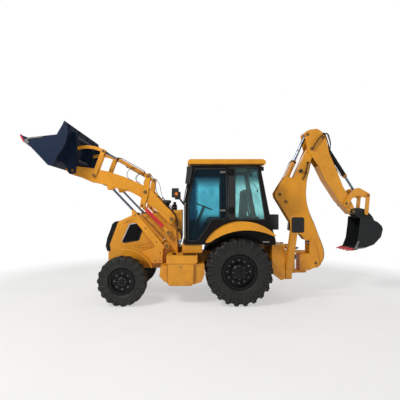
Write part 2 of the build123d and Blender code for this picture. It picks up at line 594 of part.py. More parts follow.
def fittings():
    """Air cleaner and exhaust on the hood, lamps and mirrors."""
    exhaust = bar((-1440, -210, 1790), (-1440, -210, 2000), 45)
    exhaust += Pos(-1440, -210, 1985) * Cone(60, 90, 40) + Pos(-1440, -210, 2022) * Cylinder(90, 34)
    exhaust += Pos(-1440, -210, 2046) * Cone(98, 50, 14)
    exhaust += bar((-1275, -230, 1810), (-1275, -230, 1954), 55)
    exhaust += bar((-1275, -230, 1950), (-1265, -230, 2010), 30)
    exhaust -= slab([(-2149, 1735 + SEAT), (-1110, 1850 + SEAT), (-1110, 1600), (-2149, 1600)], -400, 0)
    lamps = None
    for sign in (-1, 1):
        y = sign * 760
        head = block((-1300, -1170), sorted((sign * 660, sign * 790)), (2090, 2275))
        head += bar((-1200, y, 2130), (-1076, y, 1965), 16)
        head += bar((-1080, y, 1965), (CAB_FRONT_X, y, 1965), 30)
        mirror_side = [(-1040, 2360), (-952, 2360), (-892, 2680), (-1000, 2680)]
        mirror_head = slab(mirror_side, *sorted((sign * (CAB_HALF + 32), sign * (CAB_HALF + 66))))
        for z, x in ((2600, -913), (2420, -952)):
            mirror_head += bar((x - 30, sign * (CAB_HALF + 46), z), (x, sign * (CAB_HALF + 8), z), 9)
            mirror_head += block((x - 16, x + 16), sorted((sign * CAB_HALF, sign * (CAB_HALF + 14))),
                                 (z - 14, z + 14))
        piece = head + mirror_head
        lamps = piece if lamps is None else lamps + piece
        for x_from, x_to, stem in ((-1005, -926, (-936, -922)), (470, 545, (484, 504))):
            lamps += bar((x_from, sign * 640, 2676), (x_to, sign * 640, 2676), 44)
            lamps += block(stem, (sign * 640 - 14, sign * 640 + 14), (2690, CAB_TOP_Z))
    lamps += slab([(642, 1751), (691, 1500), (706, 1443), (842, 1443), (842, 1751)], -700, -480)
    return {"exhaust": exhaust, "lamps": lamps}


def loader():
    """Arms, levelling linkage, cylinders, coupler and bucket."""
    top_edge = [
        (-3487, 2672), (-3440, 2722), (-3364, 2742), (-2994, 2701), (-2625, 2629), (-2276, 2516),
        (-1907, 2352), (-1764, 2270),
        (-1558, 2045), (-1353, 1839), (-1251, 1720),
    ]
    low_edge = [
        (-1240, 1640), (-1290, 1560), (-1350, 1560), (-1456, 1655), (-1661, 1860), (-1764, 1942),
        (-1969, 2108), (-2130, 2196), (-2276, 2262),
        (-2480, 2290), (-2500, 2252), (-2620, 2252), (-2646, 2352), (-2933, 2404), (-3138, 2496),
        (-3405, 2578),
    ]
    arm = left(top_edge + low_edge, (ARM_IN, ARM_OUT))
    slot = (LIFT_Y - LIFT_ROD_R - SIDE_GAP, LIFT_Y + LIFT_ROD_R + SIDE_GAP)
    arm -= left([(-2790, 2200), (-2790, 2500), (-2440, 2490), (-2300, 2330), (-2270, 2200)], slot)
    bores = ((ARM_PIVOT, ARM_PIN_R), (CRANK_PIVOT, ARM_PIN_R), (LEVER_PIVOT, LOADER_PIN_R),
             (COUPLER_PIN, LOADER_PIN_R))
    for place, radius in bores:
        arm -= left_pin(place, radius + PIN_GAP, (ARM_IN - 5, ARM_OUT + 5))
    arm += left_pin(LIFT_EYE, 34, (ARM_OUT, ARM_OUT + 8))
    arms = both(arm) + pin((-3160, 2572), 55, -ARM_IN, ARM_IN)

    crank_outline = [
        (CRANK_FOOT[0] - 50, CRANK_FOOT[1] - 40), (CRANK_FOOT[0] + 50, CRANK_FOOT[1] - 45),
        (CRANK_PIVOT[0] + 65, CRANK_PIVOT[1]),
        (CRANK_TOP[0] + 50, CRANK_TOP[1] + 10), (CRANK_TOP[0], CRANK_TOP[1] + 52),
        (CRANK_TOP[0] - 50, CRANK_TOP[1] + 10),
        (CRANK_PIVOT[0] - 60, CRANK_PIVOT[1]),
    ]
    crank = left(crank_outline, PLATE_IN) + left(crank_outline, PLATE_OUT)
    crank += left_pin(CRANK_PIVOT, ARM_PIN_R, (PLATE_IN[0], PLATE_OUT[1]))
    crank -= left_pin(CRANK_TOP, LOADER_PIN_R + PIN_GAP, (PLATE_IN[0] - 5, PLATE_OUT[1] + 5))
    crank += left_pin(CRANK_FOOT, LOADER_PIN_R, (PLATE_IN[0], PLATE_OUT[1]))

    link = left_strap(LINK_FOOT, CRANK_FOOT, 36, (ARM_IN + 10, ARM_OUT - 10))
    link += left_pin(LINK_FOOT, 62, (ARM_IN, ARM_OUT))
    link -= left_pin(LINK_FOOT, ARM_PIN_R + PIN_GAP, (ARM_IN - 5, ARM_OUT + 5))
    link -= left_pin(CRANK_FOOT, LOADER_PIN_R + PIN_GAP, (ARM_IN - 5, ARM_OUT + 5))
    strut = (between(LINK_FOOT, CRANK_FOOT, 0.22), between(LINK_FOOT, CRANK_FOOT, 0.86))
    link += left_strap(*strut, 19, (ARM_OUT - 10, ARM_OUT + 4))

    lift_eye = (-LIFT_Y - 20, -LIFT_Y + 20)
    lift_barrel, lift_rod = ram(LIFT_BASE, LIFT_EYE, -LIFT_Y, 50, LIFT_ROD_R, 900, ARM_PIN_R, lift_eye, 46,
                                travel=555)
    tilt_eye = (-TILT_EYE[1], -TILT_EYE[0])
    tilt_barrel, tilt_rod = ram(CRANK_TOP, LEVER_TOP, -TILT_Y, 38, TILT_ROD_R, 740, LOADER_PIN_R, tilt_eye,
                                42, neck=75)
    crank_pin = left_pin(CRANK_TOP, LOADER_PIN_R, (PLATE_IN[0] - 6, PLATE_OUT[1] + 6))

    lever = left_strap(LEVER_PIVOT, LEVER_TOP, 42, PLATE_IN)
    lever += left_strap(LEVER_PIVOT, LEVER_TOP, 42, PLATE_OUT)
    lever -= left_pin(LEVER_PIVOT, LOADER_PIN_R + PIN_GAP, (PLATE_IN[0] - 12, PLATE_OUT[1] + 12))
    lever -= left_pin(LEVER_TOP, LINK_PIN_R + PIN_GAP, (PLATE_OUT[0] - 10, PLATE_OUT[1] + 12))
    lever_pin = left_pin(LEVER_PIVOT, LOADER_PIN_R, (PLATE_IN[0] - 6, PLATE_OUT[1] + 6))
    lever_shaft = pin(LEVER_PIVOT, LEVER_SHAFT_R, 6 - PLATE_IN[0], PLATE_IN[0] - 6)
    link_pin = left_pin(LEVER_TOP, LINK_PIN_R, (LINK_Y[0], PLATE_OUT[1] + 6))

    middle = ((LEVER_TOP[0] + COUPLER_TOP[0]) / 2, (LEVER_TOP[1] + COUPLER_TOP[1]) / 2 + 62)
    curved = curved_bar(LEVER_TOP, middle, COUPLER_TOP, 32, LINK_Y)
    curved -= left_pin(LEVER_TOP, LINK_PIN_R + PIN_GAP, (LINK_Y[0] - 10, LINK_Y[1] + 10))

    bucket_pin = left_pin(COUPLER_PIN, LOADER_PIN_R, (PLATE_IN[0] - 6, PLATE_OUT[1] + 6))
    coupler_shaft = pin(COUPLER_PIN, COUPLER_SHAFT_R, 6 - PLATE_IN[0], PLATE_IN[0] - 6)
    return {
        "loader_arms": arms,
        "bellcranks": both(crank),
        "crank_pins": both(crank_pin),
        "levelling_links": both(link),
        "lift_barrels": both(lift_barrel),
        "lift_rods": both(lift_rod),
        "tilt_barrels": both(tilt_barrel),
        "tilt_rods": both(tilt_rod),
        "lever_pins": both(lever_pin) + lever_shaft,
        "front_levers": both(lever),
        "link_pins": both(link_pin),
        "curved_links": both(curved),
        "bucket_pins": both(bucket_pin) + coupler_shaft,
    }


def curved_bar(start, middle, end, half, layer):
    """A flat bar of even width that follows an arc through three side view places."""
    arc = ThreePointArc((start[0], 0, start[1]), (middle[0], 0, middle[1]), (end[0], 0, end[1]))
    centre = arc.arc_center
    radius = arc.radius
    place = (centre.X, centre.Z)
    ring = left_pin(place, radius + half, layer) - left_pin(place, radius - half,
                                                            (layer[0] - 5, layer[1] + 5))
    reach = 3 * radius
    wedge = [place]
    for x, z in (start, end):
        away = hypot(x - place[0], z - place[1])
        wedge.append((place[0] + (x - place[0]) / away * reach, place[1] + (z - place[1]) / away * reach))
    piece = ring & left(wedge, (layer[0] - 5, layer[1] + 5))
    return piece + left_pin(start, half + 8, layer) + left_pin(end, half, layer)


def loader_tools():
    """Coupler plates and the loader bucket with its teeth."""
    plate = [
        (-3327.1, 3422), (-3400, 3250), (-3450, 3000), (-3509.5, 2830), (-3400, 2580), (-3330, 2575),
        (-3262, 2600),
        (-3250, 2854), (-3230, 3159), (-3256, 3422),
    ]
    side = left(plate, PLATE_IN) + left(plate, PLATE_OUT)
    side -= left_pin(COUPLER_PIN, LOADER_PIN_R + PIN_GAP, (PLATE_IN[0] - 5, PLATE_OUT[1] + 5))
    ear = [(-3345, 3350), (-3265, 3350), (-3244, 3105), (-3252, 3060), (-3286, 3046), (-3320, 3060),
           (-3330, 3100)]
    side += left(ear, COUPLER_EAR)
    side += left_pin(COUPLER_TOP, LINK_PIN_R, (COUPLER_EAR[1], LINK_Y[0] - SIDE_GAP))
    side += left_pin(COUPLER_TOP, LINK_PIN_R, (LINK_Y[1] + SIDE_GAP, PLATE_OUT[1] + 6))
    coupler = both(side)
    for place, radius in (((-3307, 3340), 45), ((-3350, 2880), 40)):
        coupler += pin(place, radius, -PLATE_OUT[0], PLATE_OUT[0])

    back = [(-3289, 3512), (-3400, 3250), (-3450, 3000), (-3520, 2800), (-3608, 2686), (-4059, 3155)]
    shell = slab(strip(back, -BUCKET_WALL), -BUCKET_HALF + BUCKET_WALL, BUCKET_HALF - BUCKET_WALL)
    cheek = [
        (-3289, 3512), (-3233, 3324), (-3270, 3118), (-3346, 2967), (-3439, 2836), (-3477, 2742),
        (-3514, 2667),
        (-3608, 2686), (-3984, 3089), (-4059, 3155), (-3946, 3202), (-3439, 3258), (-3402, 3324),
    ]
    bucket = shell + both(left(cheek, (BUCKET_HALF - BUCKET_WALL, BUCKET_HALF)))
    for index in range(LOADER_TEETH):
        y = -BUCKET_HALF + 60 + index * (2 * BUCKET_HALF - 120) / (LOADER_TEETH - 1)
        tooth = [
            (-4017, 3080), (-4085, 3150), (-4137, 3248), (-4133, 3262), (-4090, 3243), (-3992, 3207),
            (-3985, 3180),
            (-4040, 3160), (-3995, 3102),
        ]
        bucket += slab(tooth, y - 32, y + 32)
    return {"coupler": coupler, "loader_bucket": bucket}


def strip(line, thickness):
    """Outline of a bent plate: a side view line and its parallel to the left, mitred at the corners."""
    shifted = []
    for index, (x, z) in enumerate(line):
        normals = []
        for first, second in zip(line[max(index - 1, 0):index + 1], line[max(index, 1):index + 2]):
            length = hypot(second[0] - first[0], second[1] - first[1])
            normals.append(((first[1] - second[1]) / length, (second[0] - first[0]) / length))
        mean = (sum(n[0] for n in normals) / len(normals), sum(n[1] for n in normals) / len(normals))
        scale = thickness / (mean[0] ** 2 + mean[1] ** 2)
        shifted.append((x + mean[0] * scale, z + mean[1] * scale))
    return line + shifted[::-1]


def fork(outline, layer, bores=()):
    """A pair of plates in the same layer on both sides of the middle, bored at some places."""
    plate = left(outline, layer)
    for place, radius in bores:
        plate -= left_pin(place, radius + PIN_GAP, (layer[0] - 5, layer[1] + 5))
    return both(plate)


def digging_arm():
    """Swing post, boom, dipper, their cylinders, rocker and bucket with its teeth."""
    king = bar((SWING_X, 0, BRACKET_LOW[1] + 1), (SWING_X, 0, BRACKET_HIGH[0] - 1), BRACKET_R)
    post = king + block((POST_X0, POST_X1), (-POST_HALF, POST_HALF),
                        (BRACKET_LOW[1] + 1, BRACKET_HIGH[0] - 8))
    post -= Pos(SWING_X, 0, 700) * Cylinder(KING_R + PIN_GAP, 600)
    low, high = BRACKET_LOW[1] + 1, BRACKET_HIGH[0] - 8
    ear = [
        (POST_X0, low), (POST_X1, low), (1790, 600), (1860, 640), (1860, 760), (1775, 1130), (1752, 1172),
        (1700, 1195),
        (1660, 1180), (1650, 1130), (1650, high), (POST_X0, high),
    ]
    post += fork(ear, (POST_EAR_IN, POST_HALF))
    post += both(left_pin(BOOM_RAM_POST, 35, (50, POST_EAR_IN)))
    post += pin(BOOM_FOOT, DIG_PIN_R, -POST_HALF, POST_HALF)

    right_edge = [
        (1826, 580), (1905, 640), (1960, 760), (1974, 925), (1935, 1077), (1848, 1295), (1761, 1534),
        (1674, 1730), (1608, 1947),
        (1580, 2164), (1587, 2360), (1608, 2534), (1652, 2708), (1695, 2925), (1760, 3060), (1795, 3170),
        (1760, 3240),
        (1700, 3268),
    ]
    left_edge = [
        (1630, 3230), (1500, 2928), (1330, 2536), (1135, 2577), (1022, 2400), (905, 2200), (925, 2110),
        (1030, 1940),
        (1130, 1773), (1239, 1599), (1565, 1186), (1640, 1168), (1700, 1170), (1748, 1142), (1748, 1092),
        (1700, 1062),
        (1655, 1045), (1690, 960), (1690, 640), (1750, 590),
    ]
    boom = fork(right_edge + left_edge, (BOOM_IN, BOOM_OUT),
                ((BOOM_FOOT, DIG_PIN_R), (DIPPER_PIVOT, DIG_PIN_R)))
    back = right_edge[3:16]
    boom += slab(back + [(x - 28, z) for x, z in reversed(back)], -BOOM_IN, BOOM_IN)
    upper = [(1630, 3180), (1500, 2928), (1330, 2536), (1300, 2300), (1325, 2290), (1356, 2526), (1526, 2918),
             (1652, 3165)]
    boom += slab(upper, -BOOM_IN, BOOM_IN)
    for place in (BOOM_RAM_KNEE, DIPPER_RAM_KNEE):
        boom += pin(place, DIG_PIN_R, -BOOM_OUT - 8, BOOM_OUT + 8)

    boom_barrel, boom_rod = ram(BOOM_RAM_KNEE, BOOM_RAM_POST, 0, 58, 34, 840, DIG_PIN_R, (-44, 44), 50)
    dipper_barrel, dipper_rod = ram(DIPPER_RAM_KNEE, DIPPER_RAM_TOP, 0, 58, 34, 820, DIG_PIN_R, (-38, 38), 50,
                                    travel=555)
    bucket_barrel, bucket_rod = ram(BUCKET_RAM_TOP, ROCKER_RAM, 0, 45, 26, 1000, DIG_PIN_R, (-38, 38), 44,
                                    travel=262)

    dipper_side = [
        (1546, 3500), (1580, 3550), (1655, 3585), (1820, 3608), (1900, 3560), (2010, 3430), (2085, 3083),
        (2330, 2493), (2386, 2345), (2506, 2144),
        (2660, 1830), (2655, 1770), (2600, 1742), (2545, 1760), (2282, 2056), (2000, 2490), (1850, 2800),
        (1640, 3100), (1600, 3180),
    ]
    dipper = fork(dipper_side, (DIPPER_IN, DIPPER_OUT), ((BUCKET_PIVOT, DIG_PIN_R),))
    low = dipper_side[13:17]
    dipper += slab(low + [(x + 22, z + 12) for x, z in reversed(low)], -DIPPER_IN, DIPPER_IN)
    high = [(2015, 3090), (2225, 2500)]
    dipper += slab(high + [(x - 24, z - 6) for x, z in reversed(high)], -DIPPER_IN, DIPPER_IN)
    dipper += slab([(2282, 2056), (2545, 1760), (2600, 1742), (2600, 1765), (2556, 1782), (2300, 2070)],
                   -DIPPER_IN, DIPPER_IN)
    dipper += pin(DIPPER_PIVOT, DIG_PIN_R, -DIPPER_OUT - 8, DIPPER_OUT + 8)
    dipper += pin(BUCKET_RAM_TOP, DIG_PIN_R, -DIPPER_OUT - 8, DIPPER_OUT + 8)
    dipper += both(left_pin(DIPPER_RAM_TOP, DIG_PIN_R, (38 + SIDE_GAP, DIPPER_OUT + 8)))
    dipper += pin(ROCKER_PIVOT, 30, -ROCKER_OUT - 4, ROCKER_OUT + 4)

    rocker_side = [
        (2380, 1985), (2400, 1920), (2470, 1920), (2500, 1990), (2560, 2080), (2660, 2150), (2880, 2095),
        (2945, 2130),
        (2950, 2180), (2900, 2215), (2750, 2300), (2700, 2320), (2620, 2300), (2540, 2225),
    ]
    rocker = fork(rocker_side, (ROCKER_IN, ROCKER_OUT), ((ROCKER_PIVOT, 30),))
    rocker += both(left_pin(ROCKER_RAM, 28, (38 + SIDE_GAP, ROCKER_OUT)))
    rocker += pin(ROCKER_TIP, 26, -LINK_OUT - 4, LINK_OUT + 4)
    link = both(left_strap(ROCKER_TIP, BUCKET_LINK, 42, (LINK_IN, LINK_OUT)))
    link -= pin(ROCKER_TIP, 26 + PIN_GAP, -LINK_OUT - 5, LINK_OUT + 5)

    back = [
        (2690, 1700), (2790, 1672), (2930, 1645), (3060, 1580), (3140, 1500), (3165, 1430), (3123, 1264),
        (2974, 1104),
        (2782, 1030), (2548, 998),
    ]
    bucket = slab(strip(back, -DIG_WALL), -DIG_HALF + DIG_WALL, DIG_HALF - DIG_WALL)
    bucket += both(left(back + [(2633, 1200), (2676, 1519)], (DIG_HALF - DIG_WALL, DIG_HALF)))
    hook = [
        (2560, 1858), (2530, 1806), (2560, 1752), (2640, 1742), (2690, 1700), (2790, 1672), (2930, 1645),
        (3060, 1580),
        (3016, 1690), (2920, 1800), (2860, 1850), (2760, 1880), (2650, 1885),
    ]
    bucket += fork(hook, (EAR_IN, EAR_OUT))
    bucket += pin(BUCKET_PIVOT, DIG_PIN_R, -EAR_OUT - 6, EAR_OUT + 6)
    bucket += both(left_pin(BUCKET_LINK, 26, (EAR_IN, ROCKER_OUT)))
    for index in range(DIG_TEETH):
        y = -DIG_HALF + 45 + index * (2 * DIG_HALF - 90) / (DIG_TEETH - 1)
        bucket += slab([(2630, 990), (2640, 1030), (2530, 1022), (2395, 968), (2520, 975)], y - 30, y + 30)
    return {
        "swing_post": post,
        "boom": boom,
        "boom_barrel": boom_barrel,
        "boom_rod": boom_rod,
        "dipper": dipper,
        "dipper_barrel": dipper_barrel,
        "dipper_rod": dipper_rod,
        "bucket_barrel": bucket_barrel,
        "bucket_rod": bucket_rod,
        "rocker": rocker,
        "bucket_link": link,
        "digger_bucket": bucket,
    }


def stabilizers():
    """Folded stabilizer legs with their pads and cylinders."""
    pivot_y, pivot_z = LEG_PIVOT
    top_y, top_z = LEG_TOP
    length = hypot(top_y - pivot_y, top_z - pivot_z)
    side = ((top_z - pivot_z) / length, -(top_y - pivot_y) / length)

    def corner(y, z, half):
        return (-(y + side[0] * half), z + side[1] * half)

    beam = [corner(pivot_y, pivot_z, 68), corner(top_y, top_z, 55), corner(top_y, top_z, -55),
            corner(pivot_y, pivot_z, -68)]
    leg = cross_slab(beam, LEG_X0, LEG_X1)
    leg += bar((LEG_X0, -pivot_y, pivot_z), (LEG_X1, -pivot_y, pivot_z), 68)
    leg -= bar((LEG_X0 - 5, -pivot_y, pivot_z), (LEG_X1 + 5, -pivot_y, pivot_z), 40 + PIN_GAP)
    leg += bar((LEG_X1 - 5, -LEG_EYE[0], LEG_EYE[1]), (LEG_RAM_X - 22 - SIDE_GAP, -LEG_EYE[0], LEG_EYE[1]),
               34)
    bracket = [(-top_y - 52, top_z - 45), (-PAD_OUT + PAD_T, PAD_Z0 + 60), (-PAD_OUT + PAD_T, PAD_Z1 - 120),
               (-top_y - 20, top_z + 60),
               (-top_y + 45, top_z + 20), (-top_y + 20, top_z - 60)]
    leg += cross_slab(bracket, LEG_X0, LEG_X1)
    pad = block((PAD_X0, PAD_X1), (-PAD_OUT, -PAD_OUT + PAD_T), (PAD_Z0, PAD_Z1))
    leg += fillet(pad.edges().filter_by(Axis.Y), 60)

    base = (LEG_RAM_X, -LEG_RAM_BASE[0], LEG_RAM_BASE[1])
    eye = (LEG_RAM_X, -LEG_EYE[0], LEG_EYE[1])
    run = Vector(*eye) - Vector(*base)
    unit = run.normalized()
    end = Vector(*eye) - unit * LEG_ROD_SHOWN
    barrel = bar(base, tuple(end), 36)
    barrel += bar((LEG_RAM_X - 40, base[1], base[2]), (LEG_RAM_X + 40, base[1], base[2]), 50)
    barrel -= bar((LEG_RAM_X - 60, base[1], base[2]), (LEG_RAM_X + 60, base[1], base[2]), 26 + PIN_GAP)
    bore = Vector(*base) + unit * 70
    barrel -= bar(tuple(bore), tuple(end + unit * 5), 20 + PIN_GAP)
    rod = bar(tuple(bore + unit * 10), eye, 20)
    rod += bar((LEG_RAM_X - 22, eye[1], eye[2]), (LEG_RAM_X + 22, eye[1], eye[2]), 40)
    nodes = {"stabilizer": leg, "stabilizer_barrel": barrel, "stabilizer_rod": rod}
    pairs = {}
    for name, piece in nodes.items():
        pairs[f"{name}_left"] = piece
        pairs[f"{name}_right"] = mirror(piece, about=Plane.XZ)
    return pairs


def all_nodes():
    """Every node, in the frame with its origin on the ground below the middle of the machine."""
    nodes = {}
    groups = (main_frame, rear_frame, axles, wheels, nose, side_pieces, cab, cab_inside, fittings, loader,
              loader_tools, digging_arm,
              stabilizers)
    for group in groups:
        nodes.update(group())
    boxes = [piece.bounding_box() for piece in nodes.values()]
    low = [min(getattr(box.min, axis) for box in boxes) for axis in "XYZ"]
    high = [max(getattr(box.max, axis) for box in boxes) for axis in "XYZ"]
    shift = Pos(-(low[0] + high[0]) / 2, -(low[1] + high[1]) / 2, -low[2])
    return {name: shift * piece for name, piece in nodes.items()}


if __name__ == "__main__":
    os.makedirs("parts", exist_ok=True)
    for name, piece in all_nodes().items():
        export_step(piece, f"parts/{name}.step")
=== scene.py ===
"""Looks of the backhoe loader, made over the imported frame.

Lengths here are millimetres in the part's own frame: +X to the digging arm, +Z up, -Y to the machine's left,
with the origin on the ground under the rear axle. to_scene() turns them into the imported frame's metres.
"""

import logging
from collections.abc import Sequence
from dataclasses import dataclass
from enum import Enum

import bmesh
import bpy
import numpy as np
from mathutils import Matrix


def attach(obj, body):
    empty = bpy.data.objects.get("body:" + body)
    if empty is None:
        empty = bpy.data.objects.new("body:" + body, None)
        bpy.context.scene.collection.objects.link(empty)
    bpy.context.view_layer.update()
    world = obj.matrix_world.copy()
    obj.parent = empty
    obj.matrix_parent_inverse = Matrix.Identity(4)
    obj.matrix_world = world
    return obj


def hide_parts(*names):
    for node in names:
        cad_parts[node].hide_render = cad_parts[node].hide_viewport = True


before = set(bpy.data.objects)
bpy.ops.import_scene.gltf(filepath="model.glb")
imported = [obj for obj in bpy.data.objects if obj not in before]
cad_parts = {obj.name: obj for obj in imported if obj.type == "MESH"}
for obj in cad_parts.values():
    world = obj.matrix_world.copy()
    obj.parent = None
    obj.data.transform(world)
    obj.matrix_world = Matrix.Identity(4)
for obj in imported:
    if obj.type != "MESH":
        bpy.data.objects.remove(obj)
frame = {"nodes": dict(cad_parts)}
log = logging.getLogger("backhoe")

Row = Sequence[float]
SHIFT = np.array((486.0, 0.0, 0.0))
MM = 0.001
HOSE_R, LOOP_R, PIPE_R, BRIDGE_R = 11.0, 5.5, 9.0, 12.0

# Places shared with the part's source, as (x, z) in the side view
ARM_PIVOT, LINK_FOOT, LIFT_BASE = (-1318.0, 1657.0), (-1383.0, 1381.0), (-1414.0, 1110.0)
CRANK_PIVOT, CRANK_TOP, CRANK_FOOT = (-1853.0, 2206.0), (-1797.0, 2528.0), (-1918.0, 1930.0)
LEVER_PIVOT, LEVER_TOP = (-2895.0, 2545.0), (-2710.0, 3040.0)
COUPLER_PIN, LIFT_EYE = (-3330.0, 2645.0), (-2560.0, 2309.0)
BOOM_FOOT, BOOM_RAM_POST, BOOM_RAM_KNEE = (1790.0, 690.0), (1700.0, 1120.0), (1150.0, 2020.0)
DIPPER_RAM_KNEE, DIPPER_PIVOT, DIPPER_RAM_TOP = (1019.0, 2176.0), (1700.0, 3170.0), (1608.0, 3484.0)
BUCKET_RAM_TOP, BUCKET_PIVOT, ROCKER_PIVOT = (1956.0, 3415.0), (2600.0, 1806.0), (2436.0, 1980.0)
ROCKER_RAM, ROCKER_TIP = (2687.0, 2263.0), (2894.0, 2154.0)
DOOR_WINDOW = [
    (-220, 2656), (-844, 2656), (-974, 2008), (-974, 1228), (-796, 1228), (-690, 1372), (-592, 1503),
    (-514, 1662), (-220, 1662),
]
SIDE_WINDOW = [(-50, 2690), (385, 2690), (548, 1650), (-50, 1650)]
VENT = [(-2345, 1195), (-2185, 1535), (-1975, 1569), (-1914, 1496), (-2008, 1210), (-2320, 1158)]


class Pattern(Enum):
    """The kinds of surface that a finish can have."""

    PAINT = "paint"
    METAL = "metal"
    RUBBER = "rubber"
    PLASTIC = "plastic"
    WEAVE = "weave"
    GLASS = "glass"
    LENS = "lens"
    FLOOR = "floor"


@dataclass(frozen=True)
class Finish:
    """One procedural material.

    colour and second are sRGB colours: the surface's own, and a second one, laid on in random patches, and on
    paint and rubber also more and more towards the ground. On most finishes the second colour is dirt, dusty
    grime or wear; on the yellow paint it is the shaded yellow, so that there it is painted shade, darker
    towards the ground;
    on glass it also fills the painted shade bands at the top and bottom of a pane. amount is the share of the
    second colour, scale the size of its patches per metre, bump the strength of the fine relief, and edge the
    width of worn edges in metres. alpha is the share of glass that mirrors, and not lets through. gloss is
    the specular level, and frame the depth of the painted shade bands at the front and rear of a pane.
    """

    name: str
    pattern: Pattern
    colour: tuple[float, float, float]
    second: tuple[float, float, float]
    roughness: float
    amount: float = 0.25
    scale: float = 5.0
    bump: float = 0.08
    metallic: float = 0.0
    coat: float = 0.0
    alpha: float = 1.0
    edge: float = 0.0
    gloss: float = 0.5
    frame: float = 0.0


# Yellow paint: its second colour is the shaded yellow, laid on in random patches and, as painted shade, more
# and more towards the ground.
YELLOW = Finish("yellow paint", Pattern.PAINT, (0.90, 0.60, 0.08), (0.60, 0.38, 0.10), 0.36, 0.30, 3.0, 0.05,
                coat=0.25, edge=0.006)
RAM_YELLOW = Finish("ram paint", Pattern.PAINT, (0.82, 0.53, 0.10), (0.42, 0.29, 0.12), 0.40, 0.35, 5.0, 0.06,
                    coat=0.2,
                    edge=0.005)
BLACK = Finish("black paint", Pattern.PAINT, (0.05, 0.05, 0.055), (0.13, 0.12, 0.11), 0.40, 0.30, 4.0, 0.06,
               coat=0.08,
               gloss=0.25)
BUCKET = Finish("bucket paint", Pattern.PAINT, (0.09, 0.145, 0.24), (0.13, 0.16, 0.22), 0.45, 0.35, 5.0, 0.12,
                coat=0.05, edge=0.004, gloss=0.15)
DIGGER = Finish("digger paint", Pattern.PAINT, (0.10, 0.12, 0.125), (0.17, 0.17, 0.16), 0.45, 0.40, 5.0, 0.12,
                coat=0.08, edge=0.004, gloss=0.3)
RED = Finish("red paint", Pattern.PAINT, (0.82, 0.12, 0.16), (0.40, 0.14, 0.12), 0.40, 0.25, 9.0, 0.05,
             edge=0.004)
GREY = Finish("grey paint", Pattern.PAINT, (0.45, 0.43, 0.40), (0.30, 0.27, 0.23), 0.42, 0.25, 6.0, 0.05,
              edge=0.004)
CHROME = Finish("chrome", Pattern.METAL, (0.54, 0.58, 0.64), (0.38, 0.40, 0.44), 0.20, 0.25, 8.0, 0.02,
                metallic=1.0)
STEEL = Finish("steel", Pattern.METAL, (0.56, 0.55, 0.54), (0.33, 0.28, 0.24), 0.38, 0.35, 9.0, 0.10,
               metallic=1.0)
PIN = Finish("pin paint", Pattern.PAINT, (0.50, 0.36, 0.15), (0.26, 0.22, 0.17), 0.45, 0.40, 9.0, 0.08,
             edge=0.003)
SILVER = Finish("silver paint", Pattern.PAINT, (0.72, 0.73, 0.72), (0.45, 0.44, 0.41), 0.35, 0.25, 6.0, 0.04,
                edge=0.003)
TYRE = Finish("tyre rubber", Pattern.RUBBER, (0.10, 0.10, 0.098), (0.22, 0.22, 0.20), 0.46, 0.40, 7.0, 0.22,
              gloss=0.4)
HOSE = Finish("hose rubber", Pattern.RUBBER, (0.07, 0.07, 0.08), (0.24, 0.22, 0.20), 0.55, 0.25, 12.0, 0.15)
PLASTIC = Finish("moulded plastic", Pattern.PLASTIC, (0.13, 0.13, 0.14), (0.24, 0.22, 0.20), 0.52, 0.25, 9.0,
                 0.20)
COVER = Finish("seat cover", Pattern.WEAVE, (0.16, 0.16, 0.18), (0.07, 0.07, 0.08), 0.85, 0.50, 9.0, 0.35)
# Glass: the second colour is laid on in random patches, and as painted shade in bands at the top and bottom
# of the panes.
GLASS = Finish("tinted glass", Pattern.GLASS, (0.87, 0.97, 0.97), (0.64, 0.76, 0.77), 0.05, 0.4, 2.5, 0.01,
               alpha=0.07)
# Door glass: frame adds painted shade bands at the front and rear ends of the pane as well.
DOOR_GLASS = Finish("door glass", Pattern.GLASS, (0.66, 0.90, 0.95), (0.32, 0.44, 0.54), 0.05, 0.3, 1.8, 0.01,
                    alpha=0.07,
                    frame=0.9)
CLEAR = Finish("clear lens", Pattern.LENS, (0.90, 0.90, 0.86), (0.70, 0.70, 0.68), 0.12, 0.20, 14.0, 0.30,
               coat=0.6)
AMBER = Finish("amber lens", Pattern.LENS, (0.95, 0.50, 0.08), (0.70, 0.32, 0.06), 0.14, 0.25, 14.0, 0.30,
               coat=0.6)
RED_LENS = Finish("red lens", Pattern.LENS, (0.70, 0.06, 0.06), (0.42, 0.04, 0.04), 0.14, 0.25, 14.0, 0.30,
                  coat=0.6)
FLOOR = Finish("studio floor", Pattern.FLOOR, (0.90, 0.89, 0.87), (0.84, 0.83, 0.81), 0.75, 0.35, 0.6, 0.02)

NODE_FINISHES = {
    YELLOW: (
        "main_frame", "rear_frame", "hood", "side_boxes", "fenders", "cab_roof", "loader_arms", "bellcranks",
        "levelling_links", "front_levers", "curved_links", "swing_post", "boom", "dipper", "rocker",
        "bucket_link",
        "stabilizer_left", "stabilizer_right",
    ),
    RAM_YELLOW: (
        "lift_barrels", "tilt_barrels", "boom_barrel", "dipper_barrel", "stabilizer_barrel_left",
        "stabilizer_barrel_right",
    ),
    BLACK: (
        "axles", "knuckle_left", "knuckle_right", "rim_rear_left", "rim_rear_right", "rim_front_left",
        "rim_front_right", "grilles", "engine", "cab_frame", "door_left", "exhaust", "bucket_barrel",
    ),
    BUCKET: ("loader_bucket", "coupler"),
    DIGGER: ("digger_bucket",),
    CHROME: (
        "lift_rods", "tilt_rods", "boom_rod", "dipper_rod", "bucket_rod", "stabilizer_rod_left",
        "stabilizer_rod_right",
    ),
    STEEL: ("crank_pins", "lever_pins", "link_pins", "bucket_pins"),
    GLASS: ("cab_glass",),
    DOOR_GLASS: ("door_left_glass",),
    PLASTIC: ("controls", "lamps"),
    TYRE: ("tyre_rear_left", "tyre_rear_right", "tyre_front_left", "tyre_front_right"),
    COVER: ("seat",),
}


